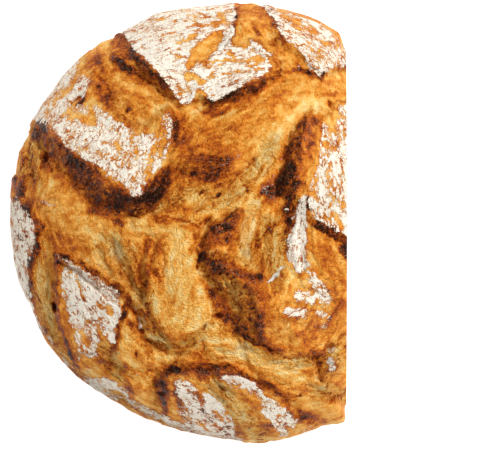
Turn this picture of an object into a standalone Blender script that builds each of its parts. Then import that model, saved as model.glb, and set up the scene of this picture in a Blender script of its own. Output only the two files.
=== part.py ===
"""A round farmhouse spelt loaf, cut straight across near one side and left lying on its base.

One closed solid named loaf, in metres, with +Z up. Lengths in the tables below are millimetres
from the middle of the whole round, +Y toward the first torn plate, +X toward the cut.
"""

import math
from collections import namedtuple

import bmesh
import bpy
import numpy as np
from mathutils import Matrix, Vector, noise

MM = 0.001

# Overall sizes, in millimetres.
CROWN_HEIGHT = 74.0
WIDE_HEIGHT = 20.0
FOOT_INSET = 14.0
MEAN_RADIUS = 120.0
DOME_FULLNESS = 0.64
CUT_DISTANCE = 64.0

# Roughness of the crust: size and height of each run of lumps, in millimetres.
CRUST_LUMPS = ((26.0, 1.3), (11.0, 0.8), (5.5, 0.35))
RAGGED_EDGE = 2.2
RAGGED_SIZE = 13.0

# Mesh of the blank, then of the finished crust.
BLANK_CUTS = 71
CRUST_TRIANGLES = 9600

# Radius of the round at each bearing, anticlockwise from +X.
RIM = (
    (0, 112), (50, 106), (54, 109), (57, 114), (61, 119), (90, 120), (130, 121), (155, 120),
    (165, 118), (180, 119), (212, 120), (235, 117), (255, 117), (275, 119), (295, 123),
    (299, 124), (302, 117), (310, 112),
)  # fmt: skip

# A plate of skin torn loose by the rise: flank steepness, where its edge lies on the flank
# (0 foot, 1 shoulder), and its outline as x, y and height above the plain dome.
Island = namedtuple("Island", "name steepness edge outline")
ISLANDS = (
    Island("north plate", 0.95, 0.62, (
        (-60, 110, 4), (-49, 92, 10), (-37, 78, 8), (-27, 63, 4), (-17, 70, 4), (-8, 65, 8),
        (15, 76, 7), (28, 86, 4), (15, 101, 2), (2, 93, 3), (4, 125, 1), (-28, 130, 0))),
    Island("north-east plate", 0.8, 0.5, (
        (18, 127, 1), (27, 108, 4), (43, 87, 6), (50, 82, 5), (67, 84, 4), (85, 90, 0),
        (80, 120, 0))),
    Island("west plate", 0.95, 0.38, (
        (-78, 95, 1), (-73, 73, 4), (-61, 57, 5), (-43, 53, 4), (-35, 59, 6), (-31, 42, 8),
        (-37, 25, 12), (-50, 11, 14), (-67, 18, 14), (-87, 36, 11), (-108, 54, 3),
        (-118, 57, 0), (-92, 101, 0))),
    Island("west lip", 1.0, 0.6, ((-124, 24, 2), (-114, 25, 3), (-112, 18, 3), (-117, 12, 1))),
    Island("west skin", 0.9, 0.6, (
        (-125, 12, 1), (-112, 8, 3), (-106, -6, 3), (-110, -29, 2), (-109, -42, 1),
        (-127, -15, 0))),
    Island("east plate", 0.8, 0.45, (
        (46, 61, 8), (37, 52, 10), (36, 40, 12), (37, 14, 12), (43, 4, 6), (58, -5, 8),
        (85, -15, 0), (88, 29, 0), (85, 68, 0), (60, 64, 3))),
    Island("east crest", 0.55, 0.5, (
        (38, 14, 9), (31, -2, 9), (33, -25, 7), (44, -36, 5), (48, -34, 4), (42, -18, 5),
        (41, 2, 6))),
    Island("south-east dome", 0.78, 0.52, (
        (3, 6, 6), (-10, -2, 8), (-14, -16, 12), (1, -28, 14), (15, -38, 15), (15, -60, 12),
        (24, -71, 6), (44, -73, 5), (54, -67, 4), (85, -57, 0), (85, -18, 0), (55, -10, 4),
        (38, 4, 5), (20, 3, 4), (13, 9, 3))),
    Island("south belly", 0.7, 0.4, (
        (-38, -9, 2), (-28, -2, 2), (-20, -8, 3), (-9, -46, 4), (-15, -60, 4), (-28, -68, 6),
        (-42, -57, 6), (-46, -42, 4))),
    Island("south-west flap", 0.9, 0.6, (
        (-96, -18, 4), (-84, -23, 7), (-56, -42, 7), (-61, -63, 4), (-69, -75, 4),
        (-84, -78, 4), (-94, -51, 5))),
    Island("south plate", 1.0, 0.5, (
        (-37, -88, 7), (-28, -80, 8), (5, -81, 8), (21, -92, 6), (42, -109, 3), (57, -125, 0),
        (11, -136, 0), (-33, -128, 0), (-38, -112, 1))),
    Island("south-east chip", 0.9, 0.5, (
        (50, -72, 4), (58, -67, 4), (85, -67, 0), (85, -94, 0), (58, -89, 3), (48, -80, 4))),
    Island("south-east lobe", 0.6, 0.4, (
        (39, -98, 2), (66, -98, 3), (85, -101, 0), (72, -120, 0), (47, -110, 2))),
)  # fmt: skip

# A crease in the dough between plates: depth, half width, and its line.
Crease = namedtuple("Crease", "name depth width line")
CREASES = (
    Crease("west valley", 4.0, 3.0, ((-100, -14), (-98, -37), (-94, -58), (-85, -79))),
    Crease("horn valley", 7.0, 4.5, ((13, 12), (9, -4), (11, -24))),
    Crease("belly crease", 3.0, 2.6, ((-44, -8), (-50, -30), (-44, -54), (-28, -69))),
    Crease("fold crease", 2.0, 2.2, ((-65, -8), (-53, -30), (-47, -41))),
    Crease("flap crease", 3.0, 2.6, ((-56, -43), (-49, -59), (-35, -70))),
    Crease("north fold", 2.0, 2.4, ((-19, 62), (-9, 58), (18, 70), (29, 78))),
    Crease("south groove", 3.5, 4.0, ((-11, -86), (-2, -95), (14, -120))),
    Crease("inner groove", 3.0, 2.6, ((-4, -86), (12, -101), (26, -121))),
    Crease("east fold", 2.5, 2.2, ((43, -91), (51, -95), (66, -96))),
    Crease("plate tear", 1.2, 3.5, ((-7, 102), (-20, 87))),
    Crease("chip crease", 2.0, 2.4, ((48, -68), (46, -77), (50, -87))),
)  # fmt: skip

# A soft swelling of the dough: middle, half lengths, turn in degrees, and height.
Hump = namedtuple("Hump", "name x y long wide turn height")
HUMPS = (
    Hump("browned hump", -15, 30, 19, 8, -8, 4.0),
    Hump("heart", 8, 51, 25, 11, 25, 2.5),
    Hump("centre roll", -30, -9, 12, 6, 0, 1.0),
    Hump("west field", -90, 4, 14, 11, -20, 2.0),
    Hump("valley bulge", -52, 65, 12, 7, 25, 2.0),
    Hump("gully bulge", -73, 90, 7, 6, 0, 2.0),
    Hump("lower bulge", -54, -55, 8, 12, 10, 2.5),
    Hump("south field", -4, -70, 14, 5, 10, 1.5),
    Hump("east field", 30, -86, 16, 7, 20, 2.5),
    Hump("corner bulge", 52, 74, 8, 7, 0, 2.0),
)  # fmt: skip

# A hole of the crumb that the cut opens: y and z of its middle, half lengths, lean and depth.
CrumbHole = namedtuple("CrumbHole", "y z long short lean depth")
CRUMB_HOLES = (
    CrumbHole(38, 34, 8.5, 3.8, -53, 6.0),
    CrumbHole(29, 50, 9.0, 3.6, -81, 6.0),
    CrumbHole(64, 32, 11.0, 8.0, 85, 3.0),
    CrumbHole(12, 35, 3.8, 3.2, -50, 4.0),
    CrumbHole(-12, 50, 6.0, 3.0, -80, 5.0),
    CrumbHole(-40, 27, 4.0, 3.4, -80, 3.0),
    CrumbHole(-53, 22, 2.6, 2.4, 0, 3.0),
    CrumbHole(-70, 35, 4.6, 2.8, -70, 3.5),
    CrumbHole(-87, 24, 5.0, 2.4, 10, 4.0),
)


def clear_scene():
    for obj in list(bpy.data.objects):
        bpy.data.objects.remove(obj, do_unlink=True)


def new_collection(name, helper=False):
    collection = bpy.data.collections.new(name)
    bpy.context.scene.collection.children.link(collection)
    collection.hide_render = helper
    return collection


def smooth_step(value, low, high):
    share = np.clip((value - low) / (high - low), 0.0, 1.0)
    return share * share * (3.0 - 2.0 * share)


def lumps(points, size, seed):
    """Smooth noise of about -1 to 1 at points in millimetres, with lumps of this size."""
    shift = np.array((31.7, -17.3, 8.9)) * seed
    return np.array([noise.noise(point) for point in points / size + shift])


def rim_radius(bearing):
    """Radius of the round, in millimetres, at bearings in degrees."""
    angles, radii = np.array(RIM, float).T
    return np.interp(bearing % 360.0, angles, radii, period=360.0)


def meridian():
    """The side view of the plain dome: radius share and height from the crown to the base's
    middle, and how much surface comes before each, with the base counted at a quarter."""
    dome = np.sin(np.linspace(0.0, math.pi / 2, 240))
    dome_z = WIDE_HEIGHT + (CROWN_HEIGHT - WIDE_HEIGHT) * (1.0 - dome**2) ** DOME_FULLNESS
    down = np.linspace(0.0, 1.0, 60)[1:]
    side = 1.0 - FOOT_INSET / MEAN_RADIUS * down**2.2
    base = np.linspace(side[-1], 0.0, 60)[1:]
    share = np.concatenate((dome, side, base))
    height = np.concatenate((dome_z, WIDE_HEIGHT * (1.0 - down), np.zeros(59)))
    step = np.hypot(np.diff(share * MEAN_RADIUS), np.diff(height))
    weight = np.where(height[1:] > 0.0, 1.0, 0.25)
    area = step * weight * (share[1:] + share[:-1])
    return share, height, np.concatenate(([0.0], np.cumsum(area)))


def segment_distance(x, y, start, end):
    """Distance from each point to a straight segment."""
    along = np.subtract(end, start)
    share = ((x - start[0]) * along[0] + (y - start[1]) * along[1]) / (along @ along)
    share = np.clip(share, 0.0, 1.0)
    return np.hypot(x - start[0] - share * along[0], y - start[1] - share * along[1])


def island_height(x, y, island):
    """Height of a torn plate: level inside its outline, and falling on a rounded flank."""
    outline = np.array(island.outline, float)
    distance = np.full(len(x), np.inf)
    inside = np.zeros(len(x), bool)
    weights = np.zeros(len(x))
    lift = np.zeros(len(x))
    for start, end in zip(outline, np.roll(outline, -1, axis=0)):
        distance = np.minimum(distance, segment_distance(x, y, start[:2], end[:2]))
        crosses = (start[1] > y) != (end[1] > y)
        rise = end[1] - start[1] if end[1] != start[1] else 1.0
        inside ^= crosses & (x < start[0] + (y - start[1]) * (end[0] - start[0]) / rise)
        pull = 1.0 / ((x - start[0]) ** 2 + (y - start[1]) ** 2 + 4.0) ** 1.5
        weights += pull
        lift += pull * start[2]
    lift /= weights
    flank = np.maximum(lift / island.steepness, 1.0)
    share = np.where(inside, distance, -distance) / flank + island.edge
    return lift * (1.0 - (1.0 - np.clip(share, 0.0, 1.0)) ** 2)


def crease_depth(x, y, crease):
    line = np.array(crease.line, float)
    distance = np.full(len(x), np.inf)
    for start, end in zip(line, line[1:]):
        distance = np.minimum(distance, segment_distance(x, y, start, end))
    return crease.depth * np.exp(-((distance / crease.width) ** 2))


def hump_height(x, y, hump):
    turn = math.radians(hump.turn)
    along = (x - hump.x) * math.cos(turn) + (y - hump.y) * math.sin(turn)
    across = (y - hump.y) * math.cos(turn) - (x - hump.x) * math.sin(turn)
    reach = (along / hump.long) ** 2 + (across / hump.wide) ** 2
    return hump.height * np.clip(1.0 - reach, 0.0, 1.0) ** 1.5


def crust_relief(points):
    """Height of the crust over the plain dome at points of the dome, in millimetres."""
    x = points[:, 0] + RAGGED_EDGE * lumps(points, RAGGED_SIZE, 1)
    y = points[:, 1] + RAGGED_EDGE * lumps(points, RAGGED_SIZE, 2)
    plates = sum(island_height(x, y, island) ** 4 for island in ISLANDS) ** 0.25
    dough = sum(hump_height(x, y, hump) for hump in HUMPS)
    dough = dough - sum(crease_depth(x, y, crease) for crease in CREASES)
    for seed, (size, height) in enumerate(CRUST_LUMPS, 3):
        dough = dough + height * lumps(points, size, seed)
    return plates + dough


def make_blank(collection):
    """The whole round before the cut: a ball's mesh carried onto the dome, then roughened."""
    mesh = bmesh.new()
    bmesh.ops.create_cube(mesh, size=2.0)
    bmesh.ops.subdivide_edges(mesh, edges=mesh.edges[:], cuts=BLANK_CUTS, use_grid_fill=True)
    ball = np.tan(np.array([vertex.co[:] for vertex in mesh.verts]) * math.pi / 4)
    ball /= np.linalg.norm(ball, axis=1)[:, None]
    bearing = np.arctan2(ball[:, 1], ball[:, 0])
    share, height, area = meridian()
    before = np.sqrt((1.0 - ball[:, 2]) / 2.0)
    reach = np.sqrt(area / area[-1])
    share = np.interp(before, reach, share)
    height = np.interp(before, reach, height)
    radius = share * rim_radius(np.degrees(bearing))
    outward = np.stack((np.cos(bearing), np.sin(bearing), np.zeros(len(ball))), axis=1)
    points = outward * radius[:, None]
    points[:, 2] = height
    below = height < WIDE_HEIGHT
    sideways = np.where(below, 1.0, smooth_step(share, 0.86, 1.0))
    fade = smooth_step(height, 2.0, WIDE_HEIGHT)
    relief = (crust_relief(points) * fade)[:, None]
    points += outward * relief * sideways[:, None]
    points[:, 2] += relief[:, 0] * (1.0 - sideways)
    for vertex, point in zip(mesh.verts, points * MM):
        vertex.co = point
    bmesh.ops.recalc_face_normals(mesh, faces=mesh.faces[:])
    data = bpy.data.meshes.new("loaf")
    mesh.to_mesh(data)
    mesh.free()
    blank = bpy.data.objects.new("loaf", data)
    collection.objects.link(blank)
    return blank


def settle(obj):
    """Applies the modifiers of an object to its mesh."""
    bpy.context.view_layer.update()
    graph = bpy.context.evaluated_depsgraph_get()
    finished = bpy.data.meshes.new_from_object(obj.evaluated_get(graph))
    obj.modifiers.clear()
    obj.data = finished


def thin_mesh(obj):
    """Brings the crust to its number of triangles, keeping the sharpest relief."""
    coarser = obj.modifiers.new("coarser", "DECIMATE")
    coarser.ratio = CRUST_TRIANGLES / (2 * len(obj.data.polygons))
    settle(obj)


def stand_on_origin(obj):
    """Moves the blank so that what the cut will leave has its box over the origin, and gives
    the middle of the round after the move."""
    points = np.array([vertex.co[:] for vertex in obj.data.vertices])
    kept = points[points[:, 0] < CUT_DISTANCE * MM]
    low = kept.min(axis=0)
    high = kept.max(axis=0)
    high[0] = CUT_DISTANCE * MM
    middle = Vector((-(low[0] + high[0]) / 2, -(low[1] + high[1]) / 2, -low[2]))
    obj.data.transform(Matrix.Translation(middle))
    return middle


def add_helper(name, mesh, place, collection):
    data = bpy.data.meshes.new(name)
    mesh.transform(place)
    mesh.to_mesh(data)
    mesh.free()
    helper = bpy.data.objects.new(name, data)
    helper.display_type = "WIRE"
    collection.objects.link(helper)
    return helper


def knife_slab(middle, collection):
    """A block over all that lies beyond the cut."""
    mesh = bmesh.new()
    bmesh.ops.create_cube(mesh, size=1.0)
    size = Matrix.Diagonal((0.2, 0.4, 0.3, 1.0))
    place = Matrix.Translation(middle + Vector((CUT_DISTANCE * MM + 0.1, 0.0, 0.1)))
    return add_helper("knife slab", mesh, place @ size, collection)


def crumb_hole(number, hole, middle, collection):
    """An egg-shaped hollow with its middle on the cut."""
    mesh = bmesh.new()
    bmesh.ops.create_icosphere(mesh, subdivisions=2, radius=1.0)
    size = Matrix.Diagonal((hole.depth * MM, hole.short * MM, hole.long * MM, 1.0))
    lean = Matrix.Rotation(math.radians(-hole.lean), 4, "X")
    place = Matrix.Translation(middle + Vector((CUT_DISTANCE, hole.y, hole.z)) * MM)
    return add_helper(f"crumb hole {number}", mesh, place @ lean @ size, collection)


def cut_away(obj, cutter):
    cut = obj.modifiers.new(cutter.name, "BOOLEAN")
    cut.operation = "DIFFERENCE"
    cut.object = cutter


def paint(obj):
    """Baked crust: brown, dry and matt."""
    crust = bpy.data.materials.new("baked crust")
    crust.use_nodes = True
    shader = crust.node_tree.nodes["Principled BSDF"]
    shader.inputs["Base Color"].default_value = (0.48, 0.25, 0.09, 1.0)
    shader.inputs["Roughness"].default_value = 0.75
    shader.inputs["Metallic"].default_value = 0.0
    obj.data.materials.clear()
    obj.data.materials.append(crust)


def build():
    clear_scene()
    loaf_parts = new_collection("spelt loaf")
    cutters = new_collection("cutters", helper=True)
    loaf = make_blank(loaf_parts)
    thin_mesh(loaf)
    middle = stand_on_origin(loaf)
    cut_away(loaf, knife_slab(middle, cutters))
    for number, hole in enumerate(CRUMB_HOLES, 1):
        cut_away(loaf, crumb_hole(number, hole, middle, cutters))
    settle(loaf)
    paint(loaf)
    loaf.data.shade_smooth()
    loaf.data.set_sharp_from_angle(angle=math.radians(50.0))


build()
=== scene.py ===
"""A round farmhouse spelt loaf, cut straight across near one side: its torn and floured crust
and the open crumb of the cut.

Lengths in the tables are millimetres from the middle of the whole round: +X toward the cut,
+Y toward the large floured plate. Heights are from the base.
"""

import math
from collections import namedtuple

import bmesh
import bpy
import numpy as np
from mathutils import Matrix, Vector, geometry, noise


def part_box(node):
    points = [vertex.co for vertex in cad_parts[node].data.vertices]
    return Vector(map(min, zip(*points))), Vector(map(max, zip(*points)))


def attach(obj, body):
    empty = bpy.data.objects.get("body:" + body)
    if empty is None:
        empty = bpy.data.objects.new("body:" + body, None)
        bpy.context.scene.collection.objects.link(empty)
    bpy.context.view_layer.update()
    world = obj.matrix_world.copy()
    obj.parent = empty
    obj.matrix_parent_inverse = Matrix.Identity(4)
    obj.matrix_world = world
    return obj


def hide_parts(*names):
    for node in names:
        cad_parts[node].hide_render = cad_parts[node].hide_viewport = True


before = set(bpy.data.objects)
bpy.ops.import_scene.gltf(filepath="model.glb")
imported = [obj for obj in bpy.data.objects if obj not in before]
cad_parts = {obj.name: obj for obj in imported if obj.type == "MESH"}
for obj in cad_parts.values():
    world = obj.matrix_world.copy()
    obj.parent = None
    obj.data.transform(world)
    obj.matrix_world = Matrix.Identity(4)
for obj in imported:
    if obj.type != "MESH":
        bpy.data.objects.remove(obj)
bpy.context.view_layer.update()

MM = 0.001

# The plain dome under the tears.
CROWN_HEIGHT = 74.0
WIDE_HEIGHT = 20.0
FOOT_INSET = 14.0
MEAN_RADIUS = 120.0
DOME_FULLNESS = 0.64
FOOT_CURVE = 2.2
DOME_STEPS = 240
SIDE_STEPS = 60
CUT_DISTANCE = 64.0
BASE_SHARE = 0.1
BLANK_CUTS = 141

# Wander of every edge of skin, flour and browning: reach and size of the wave.
RAGGED = ((1.7, 7.0, 1), (1.1, 2.8, 3))
PAINT_WANDER = ((1.8, 7.0, 11), (1.4, 3.0, 13), (0.7, 1.5, 15))
FLOUR_WANDER = ((0.8, 5.5, 17), (1.0, 2.4, 19), (0.5, 1.4, 21))

# Lumps of the risen dough: size, height and seed.
SOFT_LUMPS = ((26.0, 1.3, 3), (11.0, 0.8, 4), (5.5, 0.45, 5))
CRISP_LUMPS = ((3.4, 0.75, 6), (2.1, 0.5, 7))

# Fibres of the torn dough: size, stretch and seed; their heights; and slits between them.
FINE_FIBRES = (1.7, 5.0, 30)
BROAD_FIBRES = (3.6, 4.0, 50)
FIBRE_HEIGHTS = (0.45, 0.85)
FIBRE_TURN = 20
SLIT_DEPTH = 0.7
PLAIN_TORN = 0.16

# Clumps of torn crumb on the walls: size, height, browning of their seams and seed. The
# browning is painted shade in the seams and painted light on the clumps' tops.
CLUMPS = ((4.4, 2.0, 0.14, 60), (2.2, 1.0, 0.12, 61))

# How closely plates merge, lifts from which walls are whole and steep, roundness of humps.
PLATE_MERGE = 4
WALL_LIFT = 6.0
STEEP_LIFT = 9.0
HUMP_CURVE = 1.5

# How widely a point's surroundings are taken, in blends with its neighbours.
EDGE_TIMES = 7
SWELL_TIMES = 70

# Sizes and seeds of the patches in which dough is torn, crisp or slit.
TORN_PATCHES = (14.0, 10)
CRISP_PATCHES = (17.0, 9)
SLIT_PATCHES = (9.0, 12)

# How near a plate's corners and the notes of the flow hold a point, and a plate's curled brow.
CORNER_REACH = 2.0
FLOW_REACH = 4.0
BROW_WIDTH = 1.8

# Radius shares between which relief turns from upward to outward, and how much it loses.
SIDE_SHARES = (0.86, 1.0)
SIDE_LOSS = 0.45

# Radius of the round at each bearing, anticlockwise from +X.
RIM = (
    (0, 112), (50, 106), (54, 109), (57, 114), (60, 119), (66, 119.4), (72, 119.4),
    (78, 118.8), (84, 121), (90, 120), (96, 118), (102, 119.8), (108, 119.4), (114, 118.7),
    (120, 118.7), (126, 122), (132, 122), (138, 120.6), (144, 119), (150, 118.8),
    (156, 120.5), (162, 122), (170, 120.6), (190, 119.6), (200, 118.6), (210, 120.5),
    (222, 119.8), (235, 117), (250, 117), (258, 116), (264, 116.4), (270, 118), (276, 121),
    (282, 121.4), (288, 121.3), (294, 121.5), (298, 124.5), (300, 125), (302, 117.5),
    (310, 112),
)  # fmt: skip

Island = namedtuple("Island", "name steepness edge roundness curl shade outline")
Fold = namedtuple("Fold", "name rise width line")
Hump = namedtuple("Hump", "name x y long wide turn height")
Pit = namedtuple("Pit", "name x y long wide turn depth")
Stroke = namedtuple("Stroke", "name amount softness line")
Streaks = namedtuple("Streaks", "name amount softness lines")
FlourLine = namedtuple("FlourLine", "name cover softness streak line")
FlourArea = namedtuple("FlourArea", "name cover softness streak stretch outline")
Hole = namedtuple("Hole", "x y long wide turn depth")


def rows(kind, table):
    """A table's rows, each with its values named."""
    return tuple(kind(*row) for row in table)


# fmt: off
# Torn plates: their walls' steepness, the outline's place on them, roundness, curl and
# shade; then each corner's place, lift and browning.
ISLANDS = rows(Island, (
    ("north plate", 1.3, 0.86, 1.5, 0.9, -0.1, (
        (-61, 109, 0, 0.43), (-62, 103, 1, 0.43), (-57, 98, 5, 0.26), (-51, 91, 9, 0.46),
        (-44, 85, 11, 0.24), (-38, 78, 9, 0.58), (-31, 70, 6, 0.39), (-27, 63, 3, 0.36),
        (-23, 64, 2.5, 0.34), (-19, 67, 3, 0.49), (-15, 69, 5, 0.2), (-13, 66, 5, 0.72),
        (-8, 65, 7, 0.85), (2, 70, 8, 0.76), (15, 76, 7, 0.54), (27, 83, 5, 0.27), (28, 88, 4, 0.2),
        (22, 92, 3, 0.2), (18, 96, 3, 0.2), (15, 101, 2, 0.34), (10, 96, 2, 0.37), (2, 94, 3, 0.32),
        (1, 101, 3, 0.2), (3, 111, 2, 0.43), (4, 125, 1, 0.43), (-28, 130, 0, 0.37))),
    ("north-east plate", 1.2, 0.8, 1.6, 0.4, 0, (
        (18, 127, 1, 0.3), (21, 113, 3, 0.48), (25, 107, 4, 0.2), (27, 101, 5, 0.5), (33, 96, 5, 0.2),
        (40, 92, 5, 0.21), (43, 87, 3, 0.22), (50, 82, 2.5, 0.3), (56, 84, 2.5, 0.37), (67, 84, 4, 0.4),
        (85, 87, 0, 0.37), (82, 117, 0, 0.3), (38, 131, 0, 0.3))),
    ("west plate", 1.05, 0.86, 1.6, 0, 0.16, (
        (-78, 95, 1, 0.37), (-75, 81, 2, 0.38), (-73, 73, 4, 0.2), (-68, 65, 5, 0.53), (-61, 57, 5, 0.2),
        (-52, 52, 4, 0.32), (-43, 53, 4, 0.2), (-33, 61, 4, 0.2), (-30, 52, 5, 0.6), (-31, 42, 5, 0.27),
        (-34, 34, 4, 0.2), (-38, 25, 10, 0.2), (-45, 16, 14, 0.66), (-51, 12, 14, 0.33),
        (-58, 14, 14, 0.68), (-67, 19, 14, 0.29), (-73, 24, 13, 0.53), (-80, 31, 13, 0.64),
        (-86, 37, 12, 0.48), (-94, 43, 11, 0.34), (-101, 49, 9, 0.36), (-108, 54, 5, 0.2),
        (-118, 57, 0, 0.43), (-111, 82, 0, 0.37), (-92, 101, 0, 0.37))),
    ("west lip", 1.2, 0.6, 1.6, 0, 0, (
        (-124, 24, 2, 0.55), (-118, 25, 4, 0.55), (-113, 24, 4, 0.2), (-112, 18, 4, 0.21),
        (-116, 13, 3, 0.84), (-124, 12, 1, 0.49))),
    ("west side skin", 1.1, 0.7, 1.6, 0.3, 0, (
        (-125, 12, 1, 0.4), (-116, 12, 2, 0.43), (-110, 6, 3, 0.67), (-104, -2, 4, 0.57),
        (-105, -10, 4, 0.66), (-107, -19, 3, 0.43), (-109, -30, 3, 0.61), (-109, -42, 2, 0.43),
        (-121, -48, 0, 0.4), (-127, -15, 0, 0.4))),
    ("east plate", 1.25, 0.7, 2.0, 0, 0.2, (
        (43, 58, 5, 0.2), (39, 52, 8.5, 0.2), (37, 44, 10, 0.42), (36, 35, 13, 0.27), (34, 28, 14, 0.27),
        (32, 21, 13, 0.2), (34, 14, 10, 0.2), (40, 9, 8, 0.59), (43, 3, 6, 0.54), (46, 0, 6, 0.59),
        (52, -3, 7, 0.71), (59, -7, 8, 0.63), (68, -14, 9, 0.61), (85, -15, 0, 0.43), (88, 29, 0, 0.3),
        (85, 68, 0, 0.3), (66, 66, 1, 0.3), (58, 63, 2, 0.3), (53, 59, 4, 0.2), (46, 61, 5, 0.2))),
    ("east crest", 0.7, 0.6, 1.6, 0.4, 0, (
        (38, 14, 9, 0.57), (34, 7, 9, 0.62), (32, -2, 9, 0.49), (31, -11, 9, 0.23), (31, -19, 8, 0.37),
        (33, -25, 7, 0.37), (37, -32, 6, 0.69), (44, -36, 5, 0.25), (48, -34, 4, 0.54),
        (43, -25, 5, 0.46), (41, -16, 5, 0.42), (41, -8, 6, 0.46), (41, 2, 6, 0.45))),
    ("north rubble", 1.2, 0.6, 1.8, 0, 0.1, (
        (-60, 103, 3, 0.78), (-56, 99, 5, 0.24), (-51, 92, 6, 0.33), (-44, 84, 5, 0.23),
        (-46, 80, 4, 0.2), (-53, 82, 4, 0.28), (-58, 84, 4, 0.85), (-63, 88, 4, 0.84), (-65, 95, 3, 0.2),
        (-64, 100, 2, 0.51))),
    ("horn", 1.5, 0.8, 1.6, 0.3, 0.1, (
        (7, 5, 4, 0.43), (4, 6, 5, 0.39), (-1, 1, 6, 0.2), (-8, -2, 6.5, 0.39), (-12, -8, 6, 0.2),
        (-12, -15, 7, 0.2), (-9, -22, 7, 0.29), (-2, -25, 8.5, 0.2), (6, -30, 11, 0.85),
        (9, -25, 7, 0.37), (6, -16, 6, 0.2), (4, -10, 5, 0.39), (6, -1, 4, 0.24))),
    ("south-east dome", 0.75, 0.93, 1.5, 0.3, -0.04, (
        (-8, -23, 11, 0.63), (1, -28, 14, 0.23), (9, -32, 15, 0.2), (15, -37, 16, 0.2),
        (16, -46, 16, 0.25), (16, -54, 14, 0.55), (16, -62, 10, 0.52), (20, -67, 7, 0.24),
        (26, -71, 7, 0.28), (34, -74, 6, 0.2), (44, -73, 6, 0.2), (51, -71, 5, 0.6), (54, -67, 5, 0.2),
        (63, -62, 4, 0.37), (85, -57, 0, 0.37), (85, -18, 0, 0.37), (66, -15, 4, 0.43),
        (55, -10, 4, 0.41), (45, -2, 4, 0.37), (38, 4, 5, 0.58), (32, 2, 5, 0.33), (26, -1, 5, 0.2),
        (21, 0, 3, 0.2), (16, -8, 2.5, 0.2), (13, -19, 3.5, 0.2), (6, -22, 7, 0.25))),
    ("south belly", 0.8, 0.75, 2.2, 0, 0, (
        (-38, -9, 2, 0.3), (-28, -2, 2, 0.28), (-20, -8, 3, 0.2), (-17, -19, 4, 0.2), (-13, -34, 4, 0.82),
        (-9, -46, 4, 0.2), (-13, -56, 4, 0.2), (-19, -64, 4, 0.4), (-28, -68, 4, 0.2), (-35, -64, 4, 0.2),
        (-42, -57, 4, 0.61), (-46, -48, 4, 0.67), (-45, -37, 3, 0.2), (-43, -25, 3, 0.45))),
    ("south-west flap", 1.5, 0.85, 1.3, 1.0, 0, (
        (-96, -18, 4, 0.46), (-90, -20, 6, 0.56), (-84, -23, 7, 0.2), (-76, -28, 7, 0.54),
        (-68, -33, 7, 0.2), (-62, -37, 7, 0.65), (-56, -42, 7, 0.57), (-58, -48, 6, 0.83),
        (-60, -55, 5, 0.68), (-61, -63, 4, 0.57), (-62, -69, 4, 0.66), (-69, -75, 4, 0.2),
        (-77, -79, 4, 0.2), (-84, -78, 4, 0.85), (-87, -70, 5, 0.76), (-91, -62, 5, 0.48),
        (-94, -51, 5, 0.64), (-95, -40, 5, 0.58), (-95, -29, 5, 0.2))),
    ("south plate", 1.3, 0.85, 1.4, 0.8, 0.06, (
        (-37, -90, 8, 0.55), (-35, -84, 9, 0.24), (-28, -80, 9, 0.37), (-16, -81, 8, 0.24),
        (-4, -80, 8, 0.47), (7, -84, 6, 0.58), (14, -89, 6, 0.46), (21, -95, 5, 0.29),
        (28, -101, 4, 0.22), (34, -105, 4, 0.78), (42, -109, 3, 0.43), (52, -112, 2, 0.43),
        (57, -125, 0, 0.43), (11, -136, 0, 0.43), (-33, -128, 0, 0.43), (-38, -112, 1, 0.43),
        (-34, -101, 4, 0.58))),
    ("south-east chip", 1.3, 0.8, 1.5, 0.5, 0, (
        (51, -70, 4, 0.85), (56, -67, 4, 0.2), (66, -67, 4, 0.43), (85, -67, 0, 0.37), (85, -94, 0, 0.37),
        (66, -92, 2, 0.37), (58, -89, 3, 0.38), (51, -85, 4, 0.2), (48, -77, 4, 0.85))),
    ("south-east lobe", 0.8, 0.6, 2.0, 0, 0, (
        (40, -95, 2, 0.34), (50, -96, 3, 0.37), (66, -98, 3, 0.34), (85, -101, 0, 0.34),
        (72, -120, 0, 0.37), (55, -120, 1, 0.37), (47, -109, 2, 0.37), (38, -102, 2, 0.34))),
    ("south-east field", 0.8, 0.6, 2.0, 0, 0, (
        (10, -72, 2, 0.32), (18, -73, 3, 0.33), (33, -77, 3, 0.2), (45, -82, 3, 0.46), (47, -91, 3, 0.2),
        (37, -97, 3, 0.2), (30, -96, 3, 0.3), (21, -89, 3, 0.38), (12, -80, 2, 0.36))),
    ("centre roll", 0.9, 0.6, 2.0, 0, 0, (
        (-53, 2, 2, 0.28), (-43, 3, 2, 0.28), (-32, 2, 2, 0.43), (-23, -2, 3, 0.48), (-16, -4, 2, 0.28),
        (-18, -10, 1, 0.28), (-28, -10, 1, 0.28), (-38, -8, 1, 0.28), (-50, -6, 1, 0.28))),
    ("lower lobe", 0.8, 0.6, 2.0, 0, 0, (
        (-58, -53, 3, 0.2), (-54, -55, 3, 0.85), (-49, -63, 3, 0.38), (-44, -70, 3, 0.51),
        (-43, -77, 3, 0.47), (-46, -85, 3, 0.27), (-40, -97, 2, 0.37), (-44, -103, 1, 0.37),
        (-55, -94, 3, 0.81), (-59, -82, 3, 0.47), (-61, -70, 3, 0.3))),
))

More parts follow.
